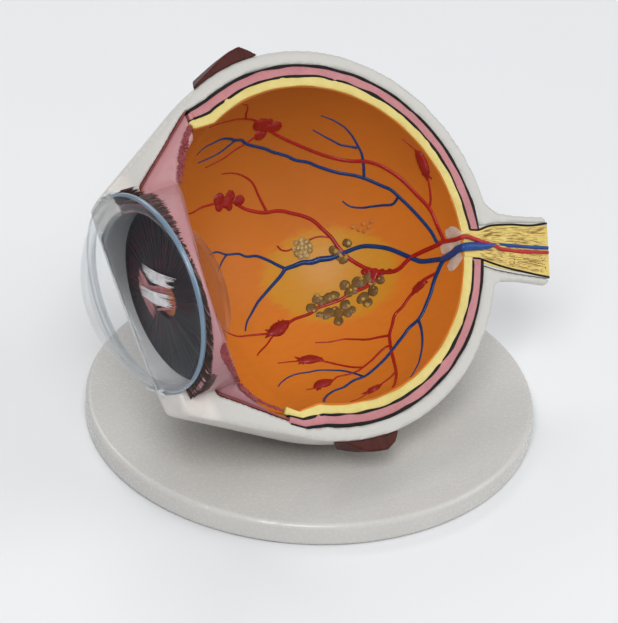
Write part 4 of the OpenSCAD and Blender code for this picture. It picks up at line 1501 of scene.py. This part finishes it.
    def build_fibres(self) -> None:
        """Draws the brown streaks and red-brown dots of the core."""
        rng = random.Random(21)
        brown = BrushedPaint("nerve_streaks", (0.24, 0.115, 0.035), (0.32, 0.17, 0.055), 1.0)
        rust = BrushedPaint("nerve_dots", (0.17, 0.030, 0.014), (0.22, 0.06, 0.02), 1.0)
        strokes, dots = [], []
        for _ in range(self.fibres):
            along, share = rng.uniform(-1.5, 17.5), rng.uniform(-0.94, 0.94)
            length, drift = rng.uniform(0.8, 3.6), rng.uniform(-0.06, 0.06)
            half = rng.uniform(0.03, 0.075)
            if along + length < self.end:
                strokes.append(self.fibre(along, length, share, drift, half))
        for _ in range(self.dots):
            along = 18.2 - 12 * rng.random() ** 1.6
            half = rng.uniform(0.07, 0.13)
            dots.append(self.fibre(along - 0.35, 0.35, rng.uniform(-0.92, -0.15), 0.0, half))
        self.lay("nerve_streaks", strokes, brown, Paint.NERVE, 0.5, spacing=0.6, sides=5)
        self.lay("nerve_dots", dots, rust, Paint.NERVE, 0.6, spacing=0.15, sides=6)

    def fibre(self, along: float, length: float, share: float, drift: float, half: float) -> Stroke:
        """Lays one streak that follows the outline.

        Args:
            along: Where it starts.
            length: How long it is.
            share: Its height as a share of the way to the upper (or, below zero, lower) line.
            drift: How far it strays.
            half: Its half width.

        Returns:
            The stroke.
        """
        edge = self.outline[0 if share > 0 else 1]
        places = [along, along + length / 2, along + length]
        offs = [abs(share) * (float(np.interp(s, *zip(*edge))) - math.copysign(0.3, share)) for s in places]
        route = [(places[0], offs[0]), (places[1], offs[1] + drift), (places[2], offs[2])]
        return self.stroke(route, [half * 0.4, half, half * 0.4])

    def lay(self, name: str, strokes: list[Stroke], finish: BrushedPaint, slot: Paint, flatness: float,
            *nodes: str, spacing: float = 0.3, sides: int = 12) -> None:
        """Turns strokes into one dressed piece."""
        STROKES.paint(name, strokes, finish.build(), slot, *nodes, Spacing=spacing, Flatness=flatness,
                      Wobble=0.12, Wobble_Scale=600.0, Seed=8.0, Sides=sides)


# ---------- the front of the eye ----------


@dataclass
class Front:
    """Ciliary body, iris, lens, clear dome, glue and the dark brushed fringe."""

    rim_x: float = 48.8
    lip_x: float = 50.6
    trim_x: float = 55.2
    trim_slope: float = 0.4986
    rise: float = 2.4
    dome_rim_r: float = 24.4
    dome_r: float = 29.0
    dome_wall: float = 1.6
    dome_band: float = 1.3
    dome_gap: float = 0.06
    chamber_r: float = 21.3
    iris_x: float = 41.0
    iris_t: float = 1.1
    iris_rise: float = 3.2
    iris_free: float = 0.5
    pupil_r: float = 4.8
    ring_r: float = 24.3
    ring_back_x: float = 32.3
    ring_slope: float = 0.6
    ring_tilt: float = 0.077
    upper_strip: tuple[tuple[float, float, float], ...] = (
        (-22.7, 36.5, 0.35), (-24.2, 34.7, 0.8), (-26.2, 32.2, 1.0), (-28.0, 29.5, 0.9),
        (-29.5, 26.7, 0.6), (-30.3, 24.8, 0.2))
    lower_strip: tuple[tuple[float, float, float], ...] = (
        (-34.6, -25.2, 0.5), (-33.4, -27.6, 0.45), (-31.4, -30.1, 0.3), (-28.8, -32.3, 0.2),
        (-26.2, -34.2, 0.12))
    grains_each: int = 5
    grain_r: Range = (0.16, 0.34)
    crescent_turns: tuple[float, ...] = (-88, -66, -50, -44, -40)
    crescent_wide: tuple[float, ...] = (0.2, 0.8, 1.9, 1.7, 0.2)
    # Painted highlight streaks: for each band, its top start and end, its low start and end, and its count.
    highlight_bars: tuple[tuple[Range, Range, Range, Range, int], ...] = (
        ((6.8, 10.0), (-7.2, 3.2), (6.9, 7.0), (-5.3, 1.0), 70),
        ((12.0, 6.0), (-5.3, -0.5), (12.0, 3.0), (-1.4, -2.8), 64))
    limbus_turns: Range = (-72, 70)
    limbus_steps: int = 60
    hairs: int = 1500
    hair_half: Range = (0.14, 0.26)
    fringe_turns: tuple[float, ...] = (-90, -82, -76, -64, -56, -45, 0, 20, 40, 60, 80, 92, 98)
    fringe_reach: tuple[float, ...] = (0.6, 1.5, 3.2, 3.2, 1.2, 0.8, 0.8, 1.2, 3.0, 5.4, 7.4, 8.0, 6.0)
    glue_arcs: tuple[tuple[float, float, int], ...] = ((84, 102, 8), (-128, -96, 12))
    glue_r: Range = (0.6, 1.3)

    def build(self) -> None:
        """Builds and dresses the front of the eye."""
        self.build_ciliary()
        self.build_iris()
        self.build_shine()
        self.build_limbus()
        self.build_clear()
        self.build_fringe()
        self.build_glue()

    def build_ciliary(self) -> None:
        """Softens and paints the pink ring and its dark red trim."""
        dress(softened("ciliary_body", "ciliary_body", 0.5, 44), CiliaryPaint().build(), Paint.CILIARY)
        dark = BrushedPaint("ciliary_dark", (0.22, 0.020, 0.026), (0.28, 0.070, 0.072), 1.8,
                            depth_mm=0.15).build()
        repaint("ciliary_border", dark)
        rng = random.Random(17)
        grains = []
        strips = np.vstack([eased(np.array(strip), 12) for strip in (self.upper_strip, self.lower_strip)])
        for x, z, half in strips:
            for _ in range(self.grains_each):
                at = np.array([x + rng.uniform(-half, half), -0.25, z + rng.uniform(-half, half) * 0.6])
                grains.append(dab(at, OUT_OF_CUT, rng.uniform(*self.grain_r)))
        for turn in np.linspace(self.crescent_turns[-1], self.crescent_turns[0], 110):
            wide = float(np.interp(turn, self.crescent_turns, self.crescent_wide))
            for _ in range(self.grains_each):
                at = self.on_ring(turn + rng.uniform(-0.4, 0.4), rng.uniform(0.0, wide))
                grains.append(dab(at, at * [0, 1, 1] / self.ring_r, rng.uniform(*self.grain_r)))
        MOUNDS.paint("ciliary_strips", grains, dark, Paint.DARK_RED, "ciliary_strips", Flatness=0.8,
                     Wobble=0.25, Wobble_Scale=900.0, Seed=7.0, Sides=2)

    def on_ring(self, turn: float, ahead: float) -> np.ndarray:
        """Gives a point on the near ring's outside.

        Args:
            turn: Degrees round the ring, 90 at the top and 0 nearest.
            ahead: Millimetres in front of the ring's back edge.

        Returns:
            The point in the eye's frame.
        """
        a = math.radians(turn)
        y, z = -self.ring_r * math.cos(a), self.ring_r * math.sin(a)
        return np.array([-self.ring_back_x + self.ring_slope * y + self.ring_tilt * z - ahead, y, z])

    def iris_front(self, radius: float) -> float:
        """Gives the iris's front surface at a radius, as a distance along the eye's axis."""
        share = min(1.0, max(0.0, (self.chamber_r - radius) / (self.chamber_r - self.pupil_r)))
        return -self.iris_x - self.iris_t - self.iris_rise * share**1.3

    def build_iris(self) -> None:
        """Builds the iris with its radial ridges, bent forward where the ring's slanted back is near."""
        rings = []
        for a in np.linspace(0, 2 * math.pi, 360, endpoint=False):
            loop = []
            slant = self.ring_slope * math.cos(a) + self.ring_tilt * math.sin(a)
            for t in np.linspace(0, 1, 26):
                r = self.chamber_r + (self.pupil_r - self.chamber_r) * t
                ridge = 0.14 * wander(a * 30, 13.0) * math.sin(math.pi * t) ** 0.5
                front = min(self.iris_front(r), slant * r - self.ring_back_x - self.iris_t)
                loop.append((front + ridge, r * math.cos(a), r * math.sin(a)))
            for t in np.linspace(1, 0, 12):
                r = self.chamber_r + (self.pupil_r - self.chamber_r) * t
                back = min(-self.iris_x - self.iris_rise * t, slant * r - self.ring_back_x - self.iris_free)
                loop.append((back, r * math.cos(a), r * math.sin(a)))
            rings.append(loop)
        dress(loft("iris", np.array(rings), closed=True), IrisPaint().build(), Paint.IRIS, "iris_disc")

    def build_shine(self) -> None:
        """Dry-brushes pale whitish streaks over the iris round the pupil as a painted highlight, and a
        pinkish tongue.
        """
        # Painted highlight: near-white streaks standing in for a lamp's reflection on the iris.
        highlight_silver = BrushedPaint("iris_highlight_paint", (0.82, 0.80, 0.80), (0.52, 0.49, 0.50), 2.0, coat=0.4,
                              roughness=0.3)
        rose = BrushedPaint("iris_rose", (0.46, 0.16, 0.17), (0.26, 0.06, 0.075), 1.6, coat=0.3)
        rng = random.Random(23)
        strokes = []
        for top_start, top_end, low_start, low_end, count in self.highlight_bars:
            for _ in range(count):
                level = rng.random()
                start = np.array(top_start) * (1 - level) + np.array(low_start) * level
                end = np.array(top_end) * (1 - level) + np.array(low_end) * level
                reach = rng.uniform(-0.05, 0.45), rng.uniform(0.55, 1.06)
                strokes.append(self.iris_stroke(start, end, reach, rng.uniform(0.06, 0.18), 0.42))
        self.iris_piece("iris_highlight_paint", strokes, highlight_silver)
        strokes = []
        for _ in range(150):
            level = rng.random()
            start = np.array([9.3 + 4.4 * level, 9.2 - 3.4 * level])
            end = np.array([3.2 + 8.4 * level, 0.6 - 3.5 * level])
            reach = rng.uniform(-0.05, 0.5), rng.uniform(0.5, 1.1)
            strokes.append(self.iris_stroke(start, end, reach, rng.uniform(0.08, 0.2)))
        for _ in range(36):
            level = rng.uniform(-1, 1)
            start = np.array([5.6, 1.2 + 3.4 * level])
            end = np.array([rng.uniform(-4.6, 0.0), -0.6 + 3.2 * level])
            strokes.append(self.iris_stroke(start, end, (0.0, 1.0), rng.uniform(0.10, 0.22)))
        self.iris_piece("iris_rose", strokes, rose)

    def iris_stroke(self, start: np.ndarray, end: np.ndarray, reach: Range, half: float,
                    lift: float = 0.1) -> Stroke:
        """Lays a stroke on the iris.

        Args:
            start: One end of its line, as (y, z).
            end: The other end.
            reach: The shares of the line where it begins and ends.
            half: Its half width.
            lift: How far it stands in front of the iris.

        Returns:
            The stroke.
        """
        begin, finish = (start + (end - start) * share for share in reach)
        points = []
        for t in np.linspace(0, 1, 7):
            y, z = begin + (finish - begin) * t
            points.append((self.iris_front(math.hypot(y, z)) - lift, y, z))
        return Stroke(np.array(points), np.tile(AHEAD, (7, 1)),
                      half * np.array([0.3, 0.8, 1.0, 1.0, 1.0, 0.8, 0.3]))

    def iris_piece(self, name: str, strokes: list[Stroke], finish: BrushedPaint) -> None:
        """Turns strokes on the iris into a dressed piece."""
        STROKES.paint(name, strokes, finish.build(), Paint.IRIS, Spacing=0.6, Flatness=0.4, Wobble=0.12,
                      Wobble_Scale=700.0, Seed=12.0, Sides=6)

    def build_limbus(self) -> None:
        """Brushes the ragged white edge of the far lip, behind the dome."""
        white = BrushedPaint("limbus_white", (0.66, 0.67, 0.67), (0.52, 0.53, 0.54), 0.9, coat=0.2)
        rng = random.Random(29)
        strokes = []
        for shift in (0.0, 0.5, 1.0):
            points, halves = [], []
            for turn in np.linspace(*self.limbus_turns, self.limbus_steps):
                t = math.radians(turn)
                r = self.chamber_r + 0.3 + shift + 0.45 * wander(turn, 21.0 + shift, 0.11)
                y, z = r * math.cos(t), r * math.sin(t)
                points.append((max(-self.lip_x, -self.trim_x + self.trim_slope * y) - 0.05, y, z))
                halves.append(rng.uniform(0.25, 0.55))
            strokes.append(Stroke(np.array(points), np.tile(AHEAD, (len(points), 1)), np.array(halves)))
        STROKES.paint("limbus_edge", strokes, white.build(), Paint.WHITE, Spacing=0.6, Flatness=0.45,
                      Wobble=0.4, Wobble_Scale=500.0, Seed=15.0, Sides=8)

    def build_clear(self) -> None:
        """Builds the dome with its open rim and dresses the lens."""
        lip = -self.rim_x - self.dome_gap
        mid = lip + math.sqrt(self.dome_r**2 - self.dome_rim_r**2)
        inner_r = self.dome_r - self.dome_wall
        band_in = self.dome_rim_r - 2.1
        last = math.asin(self.dome_rim_r / self.dome_r)
        profile = [(mid - self.dome_r * math.cos(a), self.dome_r * math.sin(a))
                   for a in np.linspace(0.004, last - 0.05, 46)]
        profile += [(lip - self.dome_band, self.dome_rim_r), (lip - 0.2, self.dome_rim_r),
                    (lip, self.dome_rim_r - 0.2), (lip, band_in), (lip - self.dome_band, band_in)]
        inner_last = math.asin((band_in + 0.1) / inner_r)
        profile += [(mid - inner_r * math.cos(a), inner_r * math.sin(a))
                    for a in np.linspace(inner_last - 0.02, 0.004, 44)]
        clear = ClearCast("dome_resin", (0.36, 0.42, 0.47), 0.012, 0.42, 3.2, (0.23, 0.33, 0.42),
                          lip - self.dome_band)
        dress(turned("cornea_dome", profile, 160, self.rise), clear.build(), Paint.CLEAR, "cornea_dome")
        # The lens's salmon edge tint is a painted reflection of the pink ring around it.
        lens = ClearCast("lens_resin", (0.60, 0.22, 0.10), 0.12, 1.0, 2.0, (0.86, 0.42, 0.36))
        repaint("lens", lens.build())

    def build_fringe(self) -> None:
        """Brushes dark hairs from the dome's rim back over the pink ring."""
        rng = random.Random(31)
        dark = BrushedPaint("fringe_brown", (0.020, 0.011, 0.009), (0.045, 0.020, 0.014), 1.5)
        pale = BrushedPaint("fringe_pale", (0.22, 0.10, 0.10), (0.12, 0.05, 0.05), 1.5)
        for name, finish, count, longest in (("fringe_hairs", dark, self.hairs, 1.0),
                                             ("fringe_pale_hairs", pale, self.hairs // 6, 1.12)):
            strokes = []
            for _ in range(count):
                turn = rng.choice((rng.uniform(-88, 98), rng.uniform(35, 98), rng.uniform(-80, -60),
                                   rng.uniform(70, 98)))
                reach = float(np.interp(turn, self.fringe_turns, self.fringe_reach))
                start = -self.rim_x + 0.1 + rng.random() * reach * 0.5
                tip = -self.rim_x + reach * rng.uniform(0.55, 1.05) * longest
                strokes.append(self.hair(turn, start, max(tip, start + 0.4), rng.uniform(-0.05, 0.02),
                                         rng.uniform(*self.hair_half)))
            STROKES.paint(name, strokes, finish.build(), Paint.IRIS, Spacing=0.8, Flatness=0.6, Wobble=0.2,
                          Wobble_Scale=500.0, Seed=9.0, Sides=5)

    def hair(self, turn: float, start: float, end: float, lean: float, half: float) -> Stroke:
        """Lays one hair on the ring.

        Args:
            turn: Degrees round the ring; past 90 it lies on the wedge's cut face.
            start: Its root along the eye's axis.
            end: Its tip along the axis.
            lean: How far it leans round the ring, in radians.
            half: Its half width.

        Returns:
            The stroke.
        """
        share = np.array([0.0, 0.35, 0.7, 1.0])
        a = math.radians(min(turn, 90)) + lean * share
        ups = np.stack([np.zeros(4), -np.cos(a), np.sin(a)], -1)
        points = ups * (self.ring_r + 0.02)
        points[:, 0] = start + (end - start) * share
        if turn < 0:
            points[0] = (-self.rim_x - 0.05, -self.dome_rim_r * math.cos(a[0]),
                         self.dome_rim_r * math.sin(a[0]) + self.rise)
        if turn > 84:
            points[:, 1] = np.minimum(points[:, 1], -0.15)
            points[:, 2] += 0.35 * max(0.0, turn - 90)
        return Stroke(points, ups, half * np.array([1.0, 1.0, 0.6, 0.1]))

    def build_glue(self) -> None:
        """Sets the white glue beads where the dome meets the front."""
        glue = BrushedPaint("glue_white", (0.68, 0.68, 0.66), (0.58, 0.58, 0.57), 0.8, coat=0.8,
                            roughness=0.2)
        marks = []
        rng = random.Random(41)
        for low, high, count in self.glue_arcs:
            for turn in np.linspace(low, high, count):
                a = math.radians(turn + rng.uniform(-2, 2))
                r = self.dome_rim_r + rng.uniform(0.1, 0.9)
                point = np.array([-self.rim_x + rng.uniform(-0.5, 0.5), -r * math.cos(a),
                                  r * math.sin(a) + self.rise])
                up = np.array([0, -math.cos(a), math.sin(a)])
                marks.append(dab(point, up, rng.uniform(*self.glue_r)))
        MOUNDS.paint("glue_beads", marks, glue.build(), Paint.WHITE, Flatness=0.38, Wobble=0.6,
                     Wobble_Scale=420.0, Seed=1.0, Sides=4)


# ---------- muscles ----------


@dataclass
class Muscles:
    """The two grooved maroon muscle stubs."""

    voxel_mm: float = 0.3
    rounds: int = 3

    def build(self) -> None:
        """Dresses the stubs."""
        paint = BrushedPaint("muscle_maroon", (0.095, 0.018, 0.013), (0.048, 0.009, 0.007), 0.8,
                             (1.6, 0.2, 0.2), 0.46, 0.12, 0.45, coat=0.05, shine=0.15).build()
        for node in ("superior_muscle", "inferior_muscle"):
            dress(softened(node, node + "_stub", self.voxel_mm, self.rounds), paint, Paint.MUSCLE)


# ---------- surroundings ----------


@dataclass
class Surroundings:
    """Pale floor, soft lights and the camera."""

    floor_size: float = 6.0
    sky: float = 0.40
    lamps: tuple[tuple[str, Colour, float, float], ...] = (
        ("key", (-0.45, -0.55, 0.85), 0.45, 6.5), ("fill", (0.7, -0.5, 0.5), 0.7, 3.0),
        ("back", (0.1, 0.7, 0.8), 0.6, 3.0))
    lit_z: float = 0.04
    distance: float = 1.1
    azimuth_deg: float = -37.22
    elevation_deg: float = 34.63
    roll_deg: float = 3.23
    focal_px: float = 4461.0
    centre_x_px: float = -0.43
    centre_y_px: float = 102.4

    def build(self) -> None:
        """Sets the whole stage."""
        bpy.context.scene.view_settings.view_transform = "Standard"
        self.build_floor()
        self.build_lights()
        self.build_camera()
        LOG.info("stage set")

    def build_floor(self) -> None:
        """Makes the pale floor."""
        half = self.floor_size / 2
        corners = [(-half, -half, 0), (half, -half, 0), (half, half, 0), (-half, half, 0)]
        data = bpy.data.meshes.new("floor")
        data.from_pydata(corners, [], [(0, 1, 2, 3)])
        s = Shader("pale_floor")
        cloud = s.speckle(s.node("ShaderNodeTexCoord").outputs["Object"], 6.0, 3.0)
        s.plain(Base_Color=s.blend(s.span(cloud, *NOISE), (0.78, 0.79, 0.80), (0.80, 0.81, 0.82)),
                Roughness=0.6)
        data.materials.append(s.material)
        placed("floor", data)

    def build_lights(self) -> None:
        """Makes a plain bright world and three soft lamps."""
        world = bpy.data.worlds.new("studio")
        world.use_nodes = True
        world.node_tree.nodes["Background"].inputs["Color"].default_value = (0.95, 0.97, 1.0, 1.0)
        world.node_tree.nodes["Background"].inputs["Strength"].default_value = self.sky
        bpy.context.scene.world = world
        for name, place, size, power in self.lamps:
            lamp = bpy.data.lights.new(name, "AREA")
            lamp.energy = power
            lamp.size = size
            made = placed(name, lamp)
            made.location = place
            aim = Vector((0, 0, self.lit_z)) - Vector(place)
            made.rotation_euler = aim.to_track_quat("-Z", "Y").to_euler()

    def build_camera(self) -> None:
        """Puts the camera where the photograph was taken from."""
        az, el = math.radians(self.azimuth_deg), math.radians(self.elevation_deg)
        roll = math.radians(self.roll_deg)
        back = Vector((math.sin(az) * math.cos(el), -math.cos(az) * math.cos(el), math.sin(el)))
        level = Vector((math.cos(az), math.sin(az), 0.0))
        upright = back.cross(level)
        right = math.cos(roll) * level + math.sin(roll) * upright
        up = -math.sin(roll) * level + math.cos(roll) * upright
        forward = -back - right * (self.centre_x_px / self.focal_px) + up * (self.centre_y_px / self.focal_px)
        forward.normalize()
        side = forward.cross(up).normalized()
        camera = bpy.data.cameras.new("camera")
        camera.sensor_fit = "HORIZONTAL"
        camera.sensor_width = 36.0
        camera.lens = self.focal_px / PHOTO_WIDTH * camera.sensor_width
        camera.clip_start = 0.01
        camera.clip_end = 20.0
        made = placed("camera", camera)
        matrix = Matrix((side, side.cross(forward), -forward)).transposed().to_4x4()
        matrix.translation = back * self.distance
        made.matrix_world = matrix
        bpy.context.scene.camera = made


def main() -> None:
    """Builds the whole model in order."""
    logging.basicConfig(level=logging.INFO, format="%(message)s")
    red = BrushedPaint("artery_red", (0.40, 0.014, 0.012), (0.30, 0.010, 0.009), 1.2, coat=0.15,
                       roughness=0.3, shine=0.25)
    blue = BrushedPaint("vein_blue", (0.004, 0.034, 0.15), (0.007, 0.048, 0.19), 1.2, coat=0.15,
                        roughness=0.3, shine=0.15)
    for part in (Surroundings(), Foot(), Bowl(),
                 Vessels("retinal_arteries_paint", "retinal_arteries", Paint.RED, red, ARTERY_ROUTES),
                 Vessels("retinal_veins_paint", "retinal_veins", Paint.BLUE, blue, VEIN_ROUTES),
                 Bleeds(), PatchMarks(), Nerve(), Front(), Muscles()):
        part.build()


if __name__ == "__main__":
    main()
